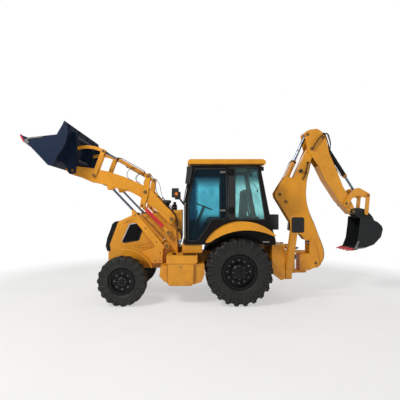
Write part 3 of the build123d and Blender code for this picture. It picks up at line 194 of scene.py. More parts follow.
def linear(colour: Sequence[float]) -> tuple[float, float, float, float]:
    """Turns an sRGB colour into the linear one that a socket takes.

    Args:
        colour: Red, green and blue from 0 to 1, as they are seen.

    Returns:
        The linear red, green and blue, and 1.
    """
    c = np.asarray(colour, float)
    low, high = c / 12.92, ((c + 0.055) / 1.055) ** 2.4
    red, green, blue = np.where(c <= 0.04045, low, high)
    return float(red), float(green), float(blue), 1.0


class Graph:
    """A short way to write a material's node tree."""

    def __init__(self, name: str) -> None:
        """Makes the material.

        Args:
            name: The material's name.
        """
        self.material = bpy.data.materials.new(name)
        self.material.use_nodes = True
        self.tree = self.material.node_tree
        self.tree.nodes.clear()

    def add(self, kind: str, props: dict | None = None, **inputs: object) -> bpy.types.Node:
        """Adds a node.

        Args:
            kind: The node's type without its ShaderNode start.
            props: Settings of the node itself.
            **inputs: Values or sockets for its inputs, by name with _ for a space, or by number as i0, i1.

        Returns:
            The node.
        """
        node = self.tree.nodes.new("ShaderNode" + kind)
        for key, value in (props or {}).items():
            setattr(node, key, value)
        for key, value in inputs.items():
            socket = node.inputs[int(key[1:])] if key[1:].isdigit() else node.inputs[key.replace("_", " ")]
            if isinstance(value, bpy.types.NodeSocket):
                self.tree.links.new(value, socket)
            else:
                socket.default_value = value
        return node

    def noise(self, where: bpy.types.NodeSocket, scale: float, detail: float = 5.0) -> bpy.types.NodeSocket:
        """Adds a noise texture.

        Args:
            where: The coordinates.
            scale: Its features per metre.
            detail: Its octaves.

        Returns:
            The noise's value.
        """
        return self.add("TexNoise", Vector=where, Scale=scale, Detail=detail, Roughness=0.6).outputs[0]

    def band(self, value: bpy.types.NodeSocket, low: float, high: float,
             to: float = 1.0) -> bpy.types.NodeSocket:
        """Stretches a value's range to run from 0, at low, to another value, at high.

        Args:
            value: The value.
            low: Where the result is 0.
            high: Where the result is at its other end.
            to: That other end.

        Returns:
            The stretched value.
        """
        return self.add("MapRange", None, i0=value, i1=low, i2=high, i3=0.0, i4=to).outputs[0]

    def maths(self, operation: str, first: object, second: object = 0.0) -> bpy.types.NodeSocket:
        """Adds a sum, product or other operation on two values.

        Args:
            operation: The operation's name.
            first: The first value or socket.
            second: The second value or socket.

        Returns:
            The result.
        """
        return self.add("Math", {"operation": operation}, i0=first, i1=second).outputs[0]


def make_material(finish: Finish) -> bpy.types.Material:
    """Builds a finish's node tree.

    Args:
        finish: What it is like.

    Returns:
        The material.
    """
    graph = Graph(finish.name)
    where = graph.add("TexCoord").outputs["Object"]
    patches = graph.band(graph.noise(where, finish.scale), 0.42, 0.68, finish.amount)
    fine = graph.noise(where, finish.scale * 40, 3.0)
    relief, distance, share, rough = fine, 0.002, patches, (finish.roughness, finish.roughness + 0.16)
    if finish.pattern in (Pattern.PAINT, Pattern.RUBBER):
        # Towards the ground the second colour grows in noisy patches: lighter dusty grime on the tyres and
        # black parts, and painted shade on the yellow paint, whose second colour is its shaded tone.
        height = graph.add("SeparateXYZ", None, Vector=where).outputs[2]
        low = graph.band(height, 1.5, 0.1, 0.55)
        dust_and_shade = graph.maths("MULTIPLY", low, graph.band(graph.noise(where, finish.scale * 2.7), 0.35, 0.65))
        share = graph.maths("MAXIMUM", patches, dust_and_shade)
    if finish.pattern is Pattern.GLASS:
        # Painted shade: the second colour in bands at the top and bottom of every pane, and, with frame, at
        # its front and rear ends too.
        along, _, height = graph.add("SeparateXYZ", None, Vector=where).outputs
        rim = graph.maths("MAXIMUM", graph.band(height, 2.36, 2.50, 0.9), graph.band(height, 1.80, 1.55, 0.9))
        if finish.frame:
            ends = graph.band(along, -0.28, -0.36, finish.frame), graph.band(along, 0.11, 0.16, finish.frame)
            rim = graph.maths("MAXIMUM", rim, graph.maths("MAXIMUM", *ends))
        share = graph.maths("MAXIMUM", patches, rim)
    if finish.pattern is Pattern.METAL:
        stretched = graph.add("Mapping", None, Vector=where, Scale=(6.0, 60.0, 6.0)).outputs[0]
        relief = graph.noise(stretched, 9.0, 4.0)
    if finish.pattern is Pattern.RUBBER:
        relief = graph.maths("ADD", fine, graph.noise(where, 55.0))
        distance = 0.004
    if finish.pattern is Pattern.PLASTIC:
        relief = graph.add("TexVoronoi", None, Vector=where, Scale=420.0).outputs[0]
        distance = 0.0008
    if finish.pattern is Pattern.WEAVE:
        over = graph.add("TexWave", {"bands_direction": "Y"}, Vector=where, Scale=95.0).outputs[1]
        along = graph.add("TexWave", {"bands_direction": "DIAGONAL"}, Vector=where, Scale=95.0).outputs[1]
        relief = graph.maths("MULTIPLY", over, along)
        share = graph.maths("MULTIPLY", relief, finish.amount)
        distance = 0.0015
    if finish.pattern is Pattern.LENS:
        relief = graph.add("TexWave", {"bands_direction": "Z"}, Vector=where, Scale=30.0).outputs[1]
        distance = 0.003
    mixed = graph.add("Mix", {"data_type": "RGBA"}, Factor=share, i6=linear(finish.colour),
                      i7=linear(finish.second))
    colour = mixed.outputs[2]
    roughness = graph.add("MapRange", None, i0=fine, i1=0.3, i2=0.7, i3=rough[0], i4=rough[1]).outputs[0]
    normal = None
    if finish.edge:
        bevel = graph.add("Bevel", {"samples": 4}, Radius=finish.edge)
        true_normal = graph.add("NewGeometry").outputs["Normal"]
        match = graph.add("VectorMath", {"operation": "DOT_PRODUCT"}, i0=bevel.outputs[0],
                          i1=true_normal).outputs[1]
        bare = graph.band(match, 0.97, 0.80)
        worn = graph.maths("MULTIPLY", bare, graph.band(graph.noise(where, 16.0), 0.48, 0.62, 0.55))
        colour = graph.add("Mix", {"data_type": "RGBA"}, Factor=worn, i6=colour,
                           i7=linear((0.36, 0.31, 0.26))).outputs[2]
        normal = bevel.outputs[0]
    bump = graph.add("Bump", None, Strength=finish.bump, Distance=distance, Height=relief)
    if normal is not None:
        graph.tree.links.new(normal, bump.inputs["Normal"])
    shader = graph.add(
        "BsdfPrincipled", None, Base_Color=colour, Roughness=roughness, Metallic=finish.metallic,
        Normal=bump.outputs[0],
    )
    shader.inputs["Coat Weight"].default_value = finish.coat
    shader.inputs["Coat Roughness"].default_value = 0.12
    shader.inputs["Specular IOR Level"].default_value = finish.gloss
    if finish.pattern is Pattern.WEAVE:
        shader.inputs["Sheen Weight"].default_value = 0.4
    result = shader.outputs[0]
    if finish.pattern is Pattern.GLASS:
        clear = graph.add("BsdfTransparent", None, Color=colour).outputs[0]
        result = graph.add("MixShader", None, i0=finish.alpha, i1=clear, i2=result).outputs[0]
    if finish.pattern is Pattern.FLOOR:
        away = graph.add("VectorMath", {"operation": "LENGTH"}, i0=where).outputs[1]
        white = graph.add("Emission", None, Color=(1.0, 1.0, 1.0, 1.0), Strength=1.0).outputs[0]
        path = graph.add("LightPath").outputs
        seen = graph.maths("MAXIMUM", path["Is Camera Ray"], path["Is Transmission Ray"])
        share = graph.maths("MULTIPLY", graph.maths("MAXIMUM", graph.band(away, 3.0, 7.0), 0.5), seen)
        result = graph.add("MixShader", None, i0=share, i1=result, i2=white).outputs[0]
    graph.add("OutputMaterial", None, Surface=result)
    return graph.material


class Workshop:
    """Keeps one material for each finish."""

    def __init__(self) -> None:
        """Starts with no materials."""
        self.made: dict[Finish, bpy.types.Material] = {}

    def material(self, finish: Finish) -> bpy.types.Material:
        """Gives a finish's material, built at its first use.

        Args:
            finish: The finish.

        Returns:
            Its material.
        """
        if finish not in self.made:
            self.made[finish] = make_material(finish)
        return self.made[finish]

    def dress_nodes(self) -> None:
        """Gives every node of the frame its material."""
        for finish, names in NODE_FINISHES.items():
            for name in names:
                node = frame["nodes"][name]
                node.data.materials.clear()
                node.data.materials.append(self.material(finish))
            log.info("%s: %d nodes", finish.name, len(names))


SHOP = Workshop()


@dataclass
class Shape:
    """A surface before it becomes a piece: points in millimetres, and faces as tuples of their numbers."""

    points: np.ndarray
    faces: list[tuple[int, ...]]

    def moved(self, offset: Row) -> "Shape":
        """Gives a moved copy.

        Args:
            offset: How far, along x, y and z.

        Returns:
            The copy.
        """
        return Shape(self.points + np.asarray(offset, float), self.faces)

    def mirrored(self) -> "Shape":
        """Gives the mirror image on the machine's other side.

        Returns:
            The image, with its faces turned round.
        """
        return Shape(self.points * (1, -1, 1), [face[::-1] for face in self.faces])

    def both(self) -> "Shape":
        """Gives the shape together with its mirror image.

        Returns:
            The pair.
        """
        return join([self, self.mirrored()])


def join(shapes: Sequence[Shape]) -> Shape:
    """Puts shapes into one.

    Args:
        shapes: The shapes.

    Returns:
        One shape with all their faces.
    """
    starts = np.cumsum([0] + [len(s.points) for s in shapes[:-1]])
    faces = [tuple(int(i + start) for i in face) for s, start in zip(shapes, starts) for face in s.faces]
    return Shape(np.vstack([s.points for s in shapes]), faces)


def grid(points: np.ndarray, wrap_u: bool = False, wrap_v: bool = False, caps: bool = False) -> Shape:
    """Makes a surface from a grid of points, with a face between each four neighbours.

    Args:
        points: An array of rows and columns of points.
        wrap_u: Whether the last row joins the first.
        wrap_v: Whether the last column joins the first.
        caps: Whether the first and last rows are closed by a face.

    Returns:
        The surface.
    """
    rows, columns = points.shape[:2]
    u, v = np.meshgrid(np.arange(rows if wrap_u else rows - 1), np.arange(columns if wrap_v else columns - 1),
                       indexing="ij")
    next_u, next_v = (u + 1) % rows, (v + 1) % columns
    corners = (u * columns + v, next_u * columns + v, next_u * columns + next_v, u * columns + next_v)
    faces = [tuple(face) for face in np.stack(corners, -1).reshape(-1, 4).tolist()]
    if caps:
        faces += [tuple(range(columns))[::-1], tuple(range((rows - 1) * columns, rows * columns))]
    return Shape(points.reshape(-1, 3).astype(float), faces)


def unit(vectors: np.ndarray) -> np.ndarray:
    """Scales vectors to length 1.

    Args:
        vectors: The vectors, along the last axis.

    Returns:
        The scaled vectors.
    """
    return vectors / np.linalg.norm(vectors, axis=-1, keepdims=True)


def circle(radius: float, sides: int = 12) -> np.ndarray:
    """Points (radius * cos t, radius * sin t) for t all the way round.

    Args:
        radius: The radius.
        sides: How many points.

    Returns:
        The points.
    """
    t = np.arange(sides) * 2 * np.pi / sides
    return radius * np.stack((np.cos(t), np.sin(t)), -1)


def rounded(outline: Sequence[Row], radius: float, steps: int = 5) -> np.ndarray:
    """Rounds a closed outline's corners.

    Each corner c becomes the curve (1 - t)^2 a + 2 t (1 - t) c + t^2 b, where a and b lie on its two edges, a
    radius away or less than half the edge.

    Args:
        outline: The corners.
        radius: How far from a corner the curve starts.
        steps: The points on each curve.

    Returns:
        The rounded outline's points.
    """
    corner = np.asarray(outline, float)
    back, ahead = np.roll(corner, 1, 0) - corner, np.roll(corner, -1, 0) - corner
    reach = [np.minimum(radius, 0.45 * np.linalg.norm(e, axis=1))[:, None] for e in (back, ahead)]
    a, b = corner + unit(back) * reach[0], corner + unit(ahead) * reach[1]
    t = np.linspace(0, 1, steps)[None, :, None]
    curve_points = (1 - t) ** 2 * a[:, None] + 2 * t * (1 - t) * corner[:, None] + t ** 2 * b[:, None]
    return curve_points.reshape(-1, corner.shape[1])


def smooth(points: Sequence[Row], steps: int = 8) -> np.ndarray:
    """Gives a smooth path through points.

    Between points b and c, with a before and d after them, the path is the cubic
    b + t (c - a) / 2 + t^2 (a - 5 b / 2 + 2 c - d / 2) + t^3 (3 b - a - 3 c + d) / 2.

    Args:
        points: What it goes through.
        steps: The points on each run.

    Returns:
        The path's points.
    """
    p = np.asarray(points, float)
    p = np.vstack((2 * p[0] - p[1], p, 2 * p[-1] - p[-2]))
    a, b, c, d = (p[i:len(p) - 3 + i, None] for i in range(4))
    t = np.linspace(0, 1, steps, endpoint=False)[None, :, None]
    path = b + t * (c - a) / 2
    path = path + t ** 2 * (a - 2.5 * b + 2 * c - 0.5 * d)
    path = path + t ** 3 * (3 * b - a - 3 * c + d) / 2
    return np.vstack((path.reshape(-1, p.shape[1]), p[-2]))


def sweep(path: np.ndarray, section: np.ndarray, up: Row, closed: bool = False) -> Shape:
    """Carries a section along a path: point + s * side + h * over, with side square to the path and to up.

    Args:
        path: The path's points.
        section: The section's points (s, h).
        up: A direction that the path never follows.
        closed: Whether the path is a loop.

    Returns:
        The surface, closed at its ends unless it is a loop.
    """
    ahead = np.roll(path, -1, 0) - np.roll(path, 1, 0) if closed else np.gradient(path, axis=0)
    ahead = unit(ahead)
    side = unit(np.cross(ahead, np.asarray(up, float)))
    over = np.cross(side, ahead)
    points = path[:, None] + section[None, :, :1] * side[:, None] + section[None, :, 1:] * over[:, None]
    return grid(points, wrap_u=closed, wrap_v=True, caps=not closed)


def tube(points: Sequence[Row], radius: float, up: Row = (0, 1, 0), steps: int = 8, sides: int = 12) -> Shape:
    """A round hose or pipe on a smooth path.

    Args:
        points: What it goes through.
        radius: Its radius.
        up: A direction that it never follows.
        steps: The points on each run.
        sides: The points round it.

    Returns:
        The closed surface.
    """
    return sweep(smooth(points, steps), circle(radius, sides), up)


def flat_tube(route: Sequence[tuple[float, float]], y: float, radius: float) -> Shape:
    """A hose or pipe whose route lies in one plane of the side view.

    Args:
        route: Its points in the side view.
        y: Where the plane lies across the machine.
        radius: Its radius.

    Returns:
        Its shape.
    """
    return tube([(x, y, z) for x, z in route], radius)


def turned(profile: Sequence[Row], centre: Row, axis: Row, sides: int = 32) -> Shape:
    """A surface of revolution: centre + r cos t u + r sin t w + h axis, for each (r, h) of the profile.

    Args:
        profile: Radii and heights.
        centre: The place of height 0 on the axis.
        axis: The axis' direction.
        sides: The points round it.

    Returns:
        The surface.
    """
    along = unit(np.asarray(axis, float))
    first = unit(np.cross(along, (0.0, 0.0, 1.0) if abs(along[2]) < 0.9 else (1.0, 0.0, 0.0)))
    second = np.cross(along, first)
    t = (np.arange(sides) * 2 * np.pi / sides)[:, None, None]
    r, h = (np.asarray(profile, float)[None, :, i, None] for i in (0, 1))
    return grid(np.asarray(centre, float) + r * (np.cos(t) * first + np.sin(t) * second) + h * along,
                wrap_u=True)


def inset(outline: np.ndarray, amount: float) -> np.ndarray:
    """Moves a closed outline's edges inwards, mitred at the corners.

    Args:
        outline: The outline's points.
        amount: How far.

    Returns:
        The smaller outline.
    """
    ahead = unit(np.roll(outline, -1, 0) - outline)
    area = np.sum(outline[:, 0] * np.roll(outline[:, 1], -1) - np.roll(outline[:, 0], -1) * outline[:, 1])
    normal = np.stack((-ahead[:, 1], ahead[:, 0]), -1) * np.sign(area)
    both = normal + np.roll(normal, 1, 0)
    return outline + both * (2 * amount / np.sum(both ** 2, axis=1, keepdims=True))


def plate(outline: Sequence[Row], low: float, high: float, plane: str = "xz", bevel: float = 1.5) -> Shape:
    """A flat plate with bevelled edges: four copies of its outline, the first and last of them inset.

    Args:
        outline: Its outline in the plane.
        low: Where it starts across the plane.
        high: Where it ends.
        plane: The plane's two axes.
        bevel: The bevel's width.

    Returns:
        The closed surface.
    """
    edge = np.asarray(outline, float)
    small = inset(edge, bevel)
    axes = ["xyz".index(axis) for axis in plane]
    points = np.empty((4, len(edge), 3))
    points[:, :, axes] = np.stack((small, edge, edge, small))
    points[:, :, 3 - sum(axes)] = np.array((low, low + bevel, high - bevel, high))[:, None]
    return grid(points, wrap_v=True, caps=True)


def box(x: Row, y: Row, z: Row, bevel: float = 3.0) -> Shape:
    """A bevelled bar between two corners.

    Args:
        x: Its range along x.
        y: Its range along y.
        z: Its range along z.
        bevel: The bevel's width.

    Returns:
        The closed surface.
    """
    return plate([(x[0], z[0]), (x[1], z[0]), (x[1], z[1]), (x[0], z[1])], y[0], y[1], "xz", bevel)


def bolt(centre: Row, axis: Row, size: float = 13.0, height: float = 10.0) -> Shape:
    """A bolt head: a hexagon over a washer.

    Args:
        centre: Its place on the surface.
        axis: The direction that it stands out in.
        size: The hexagon's radius.
        height: Its height.

    Returns:
        The head.
    """
    washer = turned([(0, -2), (size * 1.35, -2), (size * 1.35, 2.5), (0, 2.5)], centre, axis, 16)
    head = turned([(0, height), (size * 0.85, height), (size, height - 2), (size, 0), (0, 0)], centre, axis,
                  6)
    return join([washer, head])


def ring_of(count: int, radius: float, centre: Row, axis: Row, size: float, height: float) -> Shape:
    """Bolt heads round an axis along Y.

    Args:
        count: How many.
        radius: The ring's radius.
        centre: The ring's centre.
        axis: The direction that they stand out in.
        size: A head's radius.
        height: A head's height.

    Returns:
        The heads.
    """
    places = circle(radius, count)
    return join([bolt((centre[0] + a, centre[1], centre[2] + b), axis, size, height) for a, b in places])


def to_scene(points: np.ndarray) -> np.ndarray:
    """Turns millimetres in the part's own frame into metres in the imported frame.

    Args:
        points: The points.

    Returns:
        The moved and scaled points.
    """
    return (points + SHIFT) * MM


def make(name: str, shape: Shape, finish: Finish, body: str,
         stands_for: Sequence[str] = ()) -> bpy.types.Object:
    """Makes a piece that rides on a body.

    Args:
        name: The piece's name.
        shape: Its surface.
        finish: Its finish.
        body: The body that it rides on.
        stands_for: The nodes that it is shown in place of.

    Returns:
        The piece.
    """
    mesh = bpy.data.meshes.new(name)
    mesh.from_pydata(to_scene(shape.points).tolist(), [], shape.faces)
    work = bmesh.new()
    work.from_mesh(mesh)
    bmesh.ops.remove_doubles(work, verts=work.verts, dist=0.00002)
    bmesh.ops.recalc_face_normals(work, faces=work.faces)
    work.to_mesh(mesh)
    work.free()
    mesh.polygons.foreach_set("use_smooth", np.ones(len(mesh.polygons), bool))
    mesh.set_sharp_from_angle(angle=0.6)
    mesh.materials.append(SHOP.material(finish))
    piece = bpy.data.objects.new(name, mesh)
    bpy.context.scene.collection.objects.link(piece)
    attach(piece, body)
    if stands_for:
        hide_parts(*stands_for)
    log.info("%s: %d points on %s", name, len(mesh.vertices), body)
    return piece


@dataclass(frozen=True)
class Wheel:
    """One wheel's tyre tread and rim fittings.

    side is -1 on the machine's left and 1 on its right. disc, hub_r and hub_out give the rim's disc and hub.
    """

    name: str
    side: int
    x: float
    y: float
    radius: float
    width: float
    rim_r: float
    lugs: int
    lug_h: float
    disc: float
    hub_r: float
    hub_out: float
    bolts: int

    def build(self) -> None:
        """Makes the wheel's pieces."""
        body = f"wheel_{self.name}"
        make(f"tread_{self.name}", self.tread(), TYRE, body, (f"tyre_{self.name}",))
        make(f"rim_trim_{self.name}", self.trim(), BLACK, body)
        make(f"wheel_nuts_{self.name}", self.nuts(), STEEL, body)

    def tread(self) -> Shape:
        """Gives the tyre as a grid of angle by place on its section.

        A point is (r sin t, y, r cos t). Its section is a smooth curve from bead to bead. Inside a tread
        bar it moves to a second curve, the bar's crown. The angle leans with the distance from the middle,
        so that the grid follows the slanted bars.

        Returns:
            The tyre's surface.
        """
        half, tread_r, shoulder = self.width / 2, self.radius - self.lug_h, 0.2 * self.radius
        ridge = self.rim_r + 0.155 * self.radius
        bead = [
            (0.70, self.rim_r + 1), (0.735, self.rim_r + 30), (0.90, self.rim_r + 48), (0.935, ridge - 11),
            (0.960, ridge - 4), (0.960, ridge + 4), (0.94, ridge + 11),
        ]
        base = [
            *bead, (0.925, tread_r - 1.15 * shoulder), (0.91, tread_r - 0.70 * shoulder),
            (0.88, tread_r - 0.32 * shoulder), (0.80, tread_r - 0.06 * shoulder), (0.60, tread_r),
            (0.30, tread_r + 2),
            (0.02, tread_r + 3),
        ]
        crown = [
            *bead, (0.965, tread_r - 1.15 * shoulder), (1.0, tread_r - 0.90 * shoulder),
            (1.0, tread_r - 0.30 * shoulder), (0.96, self.radius - 16), (0.60, self.radius - 4),
            (0.30, self.radius - 3), (0.02, self.radius - 3),
        ]
        base_line, crown_line = (smooth([(share * half, r) for share, r in line], 4) for line in (base,
                crown))
        sides = np.concatenate((-np.ones(len(base_line)), np.ones(len(base_line))))
        y0, r0 = np.vstack((base_line, base_line[::-1])).T
        y1, r1 = np.vstack((crown_line, crown_line[::-1])).T
        pitch = 2 * np.pi * self.radius / self.lugs
        bar = 0.38 * pitch
        steps = np.array((-bar / 2 - 11, -bar / 2, -bar / 2 + 4, bar / 2 - 4, bar / 2, bar / 2 + 11,
                          pitch / 4))
        offsets = np.concatenate((steps, steps + pitch / 2))
        around = (np.arange(self.lugs)[:, None] * pitch + offsets).reshape(-1, 1)
        centre = np.where(sides * self.side < 0, 0.5, 0.0) * pitch
        away = np.abs((around - centre + pitch / 2) % pitch - pitch / 2)
        mask = np.interp(away, (0, bar / 2 - 4, bar / 2, bar / 2 + 11), (1, 1, 0.93, 0))
        mask *= np.interp(y0, (0.02 * self.width, 0.05 * self.width), (0, 1))
        lean = 0.13 * self.radius * np.clip((y0 - 0.02 * self.width) / (half - 25 - 0.02 * self.width), 0, 1)
        angle = (around + lean) / self.radius
        y = (y0 + (y1 - y0) * mask) * sides
        r = r0 + (r1 - r0) * mask
        points = np.stack((r * np.sin(angle), y + 0 * r, r * np.cos(angle)), -1)
        return grid(points, wrap_u=True).moved((self.x, self.y, self.radius))

    def trim(self) -> Shape:
        """Gives the rim's rolled lips and the hub's stepped cap.

        Returns:
            The pieces, joined.
        """
        centre, axis = (self.x, self.y, self.radius), (0, self.side, 0)
        edge, lip = 0.36 * self.width + 12.3, self.rim_r + 22
        roll = [(lip - 34, edge - 2), (lip - 10, edge + 1), (lip - 2, edge + 3), (lip + 3, edge - 3),
                (lip + 2, edge - 9),
                (lip - 8, edge - 12)]
        step = [(self.hub_r + 34, self.disc + 2), (self.hub_r + 30, self.disc + 10),
                (self.hub_r + 3, self.disc + 12),
                (self.hub_r + 1, self.disc + 2)]
        cap = [(self.hub_r - 45, self.hub_out - 4), (self.hub_r - 48, self.hub_out + 10),
               (self.hub_r - 60, self.hub_out + 17),
               (18, self.hub_out + 19), (14, self.hub_out + 24), (0, self.hub_out + 25)]
        inner = [(a, -b) for a, b in roll]
        return join([turned(line, centre, axis, 64) for line in (roll, inner, step, cap)])

    def nuts(self) -> Shape:
        """Gives the nuts on the disc and on the hub.

        Returns:
            The nuts, joined.
        """
        axis = (0, self.side, 0)
        ring = self.hub_r + (self.rim_r - 14 - self.hub_r) * 0.50
        disc = (self.x, self.y + self.side * (self.disc + 5), self.radius)
        hub = (self.x, self.y + self.side * (self.hub_out - 6), self.radius)
        return join([
            ring_of(self.bolts, ring, disc, axis, 14, 16),
            ring_of(8, self.hub_r - 26, hub, axis, 9, 12),
        ])


@dataclass(frozen=True)
class Ram:
    """A cylinder's gland, ports and feed pipe on its barrel.

    base and eye are its ends in the side view, and y is where its middle lies across the machine.
    """

    name: str
    body: str
    base: tuple[float, float]
    eye: tuple[float, float]
    y: float
    radius: float
    length: float
    lift: float = 1.0
    mirror: bool = False
    head: Finish = BLACK

    def build(self) -> None:
        """Makes the ram's trim."""
        base, eye = np.array((self.base[0], self.y, self.base[1])), np.array((self.eye[0], self.y,
                self.eye[1]))
        along = unit(eye - base)
        over = self.lift * np.array((-along[2], 0.0, along[0]))
        r = self.radius
        head = base + along * (self.length - 46)
        gland = turned(
            [(r - 6, 0), (r + 3, 0), (r + 6, 3), (r + 6, 30), (r + 3, 34), (r - 2, 36), (r - 4, 49),
             (r - 14, 52),
             (r - 24, 50)], head, along, 40)
        foot = turned([(r - 2, 0), (r + 4, 0), (r + 4, 16), (r - 2, 18)], base + along * 90, along, 40)
        ports = [turned([(0, 22), (13, 22), (15, 19), (15, -8), (0, -8)], base + along * d + over * r, over,
                        6)
                 for d in (120, self.length - 66)]
        start, end = base + along * 120 + over * (r + 14), base + along * (self.length - 66) + over * (r + 14)
        run = [start - over * 8, start + along * 14 + over * 6, start + along * 40 + over * 6,
               (start + end) / 2 + over * 6,
               end - along * 40 + over * 6, end - along * 14 + over * 6, end - over * 8]
        pipe = tube(run, 7, steps=6, sides=10)
        shapes = {"gland": (join([gland, foot]), self.head,
                            "black_paint" if self.head == BLACK else "yellow_paint"),
                  "pipe": (join([pipe, *ports]), STEEL, "steel")}
        for kind, (shape, finish, slot) in shapes.items():
            make(f"{self.name}_{kind}", shape.both() if self.mirror else shape, finish, self.body)


def pin_heads(name: str, body: str, places: Sequence[tuple[Row, float]], y: float,
              finish: Finish = PIN) -> None:
    """Makes round pin heads with a keeper bolt, on both sides of the machine.

    Args:
        name: The piece's name.
        body: The body that it rides on.
        places: Side view places and radii.
        y: How far out from the middle the heads' seats are.
        finish: Their finish.
    """
    shapes = []
    for (x, z), r in places:
        head = [(0, 9), (r * 0.35, 9), (r * 0.42, 6), (r * 0.8, 6), (r - 1, 4), (r, 1), (r, -4)]
        shapes.append(turned(head, (x, -y, z), (0, -1, 0), 32))
        shapes.append(bolt((x + r * 0.2, -y - 5, z), (0, -1, 0), r * 0.2, 6))
    make(name, join(shapes).both(), finish, body)


def seal(outline: Sequence[Row], y: float, width: float = 22.0, height: float = 9.0,
         radius: float = 45.0) -> Shape:
    """A rubber seal: a low rounded section carried round a window's rounded outline.

    Args:
        outline: The window's corners in the side view.
        y: The seal's middle.
        width: Its width.
        height: Its height.
        radius: The corners' radius.

    Returns:
        The loop.
    """
    loop = rounded(outline, radius)
    path = np.stack((loop[:, 0], np.full(len(loop), y), loop[:, 1]), -1)
    t = np.arange(10) * 2 * np.pi / 10
    section = np.stack((np.cos(t) * width / 2, np.sin(t) * height / 2), -1)
    return sweep(path, section, (0, 1, 0), closed=True)


def mesh_of_wires(outline: Sequence[Row], y: float, pitch: float, radius: float) -> Shape:
    """A net of crossed wires inside an outline in the side view.

    Each wire is a line at 45 degrees, cut where it crosses the outline's edges.

    Args:
        outline: The outline.
        y: The net's plane.
        pitch: The distance from wire to wire.
        radius: A wire's radius.

    Returns:
        The wires.
    """
    corner = np.asarray(outline, float)
    wires = []
    for slope in (1.0, -1.0):
        a = corner[:, 1] - slope * corner[:, 0]
        b = np.roll(a, -1)
        for level in np.arange(a.min() + pitch / 2, a.max(), pitch):
            crossed = (a - level) * (b - level) < 0
            share = ((level - a) / np.where(b == a, 1.0, b - a))[crossed][:, None]
            cut = corner[crossed] + share * (np.roll(corner, -1, 0) - corner)[crossed]
            if len(cut) >= 2:
                ends = cut[np.argsort(cut[:, 0])][[0, -1]]
                path = np.stack((ends[:, 0], np.full(2, y + slope * radius * 0.8), ends[:, 1]), -1)
                wires.append(sweep(path, circle(radius, 6), (0, 1, 0)))
    return join(wires)


@dataclass(frozen=True)
class Hood:
    """Creases, side vents, grille bars, latches and pipes on the hood and nose."""

    half: float = 470.0

    def build(self) -> None:
        """Makes the hood's pieces."""
        net = mesh_of_wires(VENT, -self.half + 2, 22, 2.6)
        frame_line = seal(VENT, -self.half - 1, 20, 8, 30)
        make("vent_nets", net.both(), BLACK, "chassis")
        make("vent_frames", frame_line.both(), PLASTIC, "chassis")
        strip = [(-2368, 1190), (-2205, 1552), (-1975, 1592), (-1972, 1572), (-2190, 1533), (-2350, 1188)]
        make("vent_strips", plate(strip, -self.half - 10, -self.half - 3).both(), SILVER, "chassis")
        creases = [
            [(-2330, 1560), (-2120, 1660), (-1900, 1690), (-1640, 1715), (-1300, 1745), (-1130, 1760)],
            [(-2280, 1600), (-2200, 1575), (-2330, 1240), (-2368, 1110), (-2330, 1085), (-1960, 1120),
             (-1670, 1185)],
            [(-2440, 1010), (-2200, 1045), (-1900, 1075), (-1600, 1085), (-1560, 1160), (-1400, 1195),
             (-1200, 1215)],
            [(-1880, 1480), (-1700, 1560), (-1400, 1600), (-1130, 1610)],
        ]
        section = np.array([(-7, -3), (-4, 3), (0, 5), (4, 3), (7, -3)])
        lines = [sweep(smooth([(x, -self.half, z) for x, z in line]), section, (0, 1, 0)) for line in creases]
        make("hood_creases", join(lines).both(), YELLOW, "chassis")
        joint = [sweep(smooth([(-1440, -self.half - 1, 1000), (-1440, -self.half - 1, 1500),
                               (-1440, -self.half - 1, 1770)]),
                       section * 0.55, (0, 1, 0))]
        make("hood_joint", join(joint).both(), BLACK, "chassis")
        bars = []
        for z in range(1050, 1500, 24):
            front = -2701 + max(0.0, (z - 1090) * 0.19) + max(0.0, (z - 1257) * 0.16) + 14
            bars.append(box((front, front + 10), (-400, 400), (z, z + 6), 1.5))
        uprights = [box((-2680 + 90, -2570), (y - 4, y + 4), (1040, 1500), 1.5) for y in (-200, 0, 200)]
        make("grille_bars", join(bars + uprights), PLASTIC, "chassis")
        latches = [turned([(0, 9), (14, 9), (18, 6), (18, 0)], (x, -self.half - 2, z), (0, -1, 0), 24)
                   for x, z in ((-1500, 1440), (-1180, 1440))]
        make("hood_latches", join(latches).both(), BLACK, "chassis")
        bands = [turned([(r - 2, 0), (r + 4, 0), (r + 5, 7), (r + 4, 14), (r - 2, 14)], (x, y, z), (0, 0, 1),
                        36)
                 for x, y, z, r in ((-1440, -210, 2000, 90), (-1440, -210, 1965, 45), (-1275, -230, 1890, 55),
                                    (-1275, -230, 1840, 55))]
        ribs = [turned([(88, 0), (94, 3), (94, 7), (88, 10)], (-1440, -210, z), (0, 0, 1), 36) for z in (2008,
                2022)]
        make("exhaust_bands", join(bands + ribs), STEEL, "chassis")
        fill = [turned([(0, 22), (30, 22), (34, 18), (34, 0)], (x, 0, z), (0.11, 0, 1), 28)
                for x, z in ((-2060, 1745), (-1700, 1786))]
        make("hood_caps", join(fill), BLACK, "chassis")


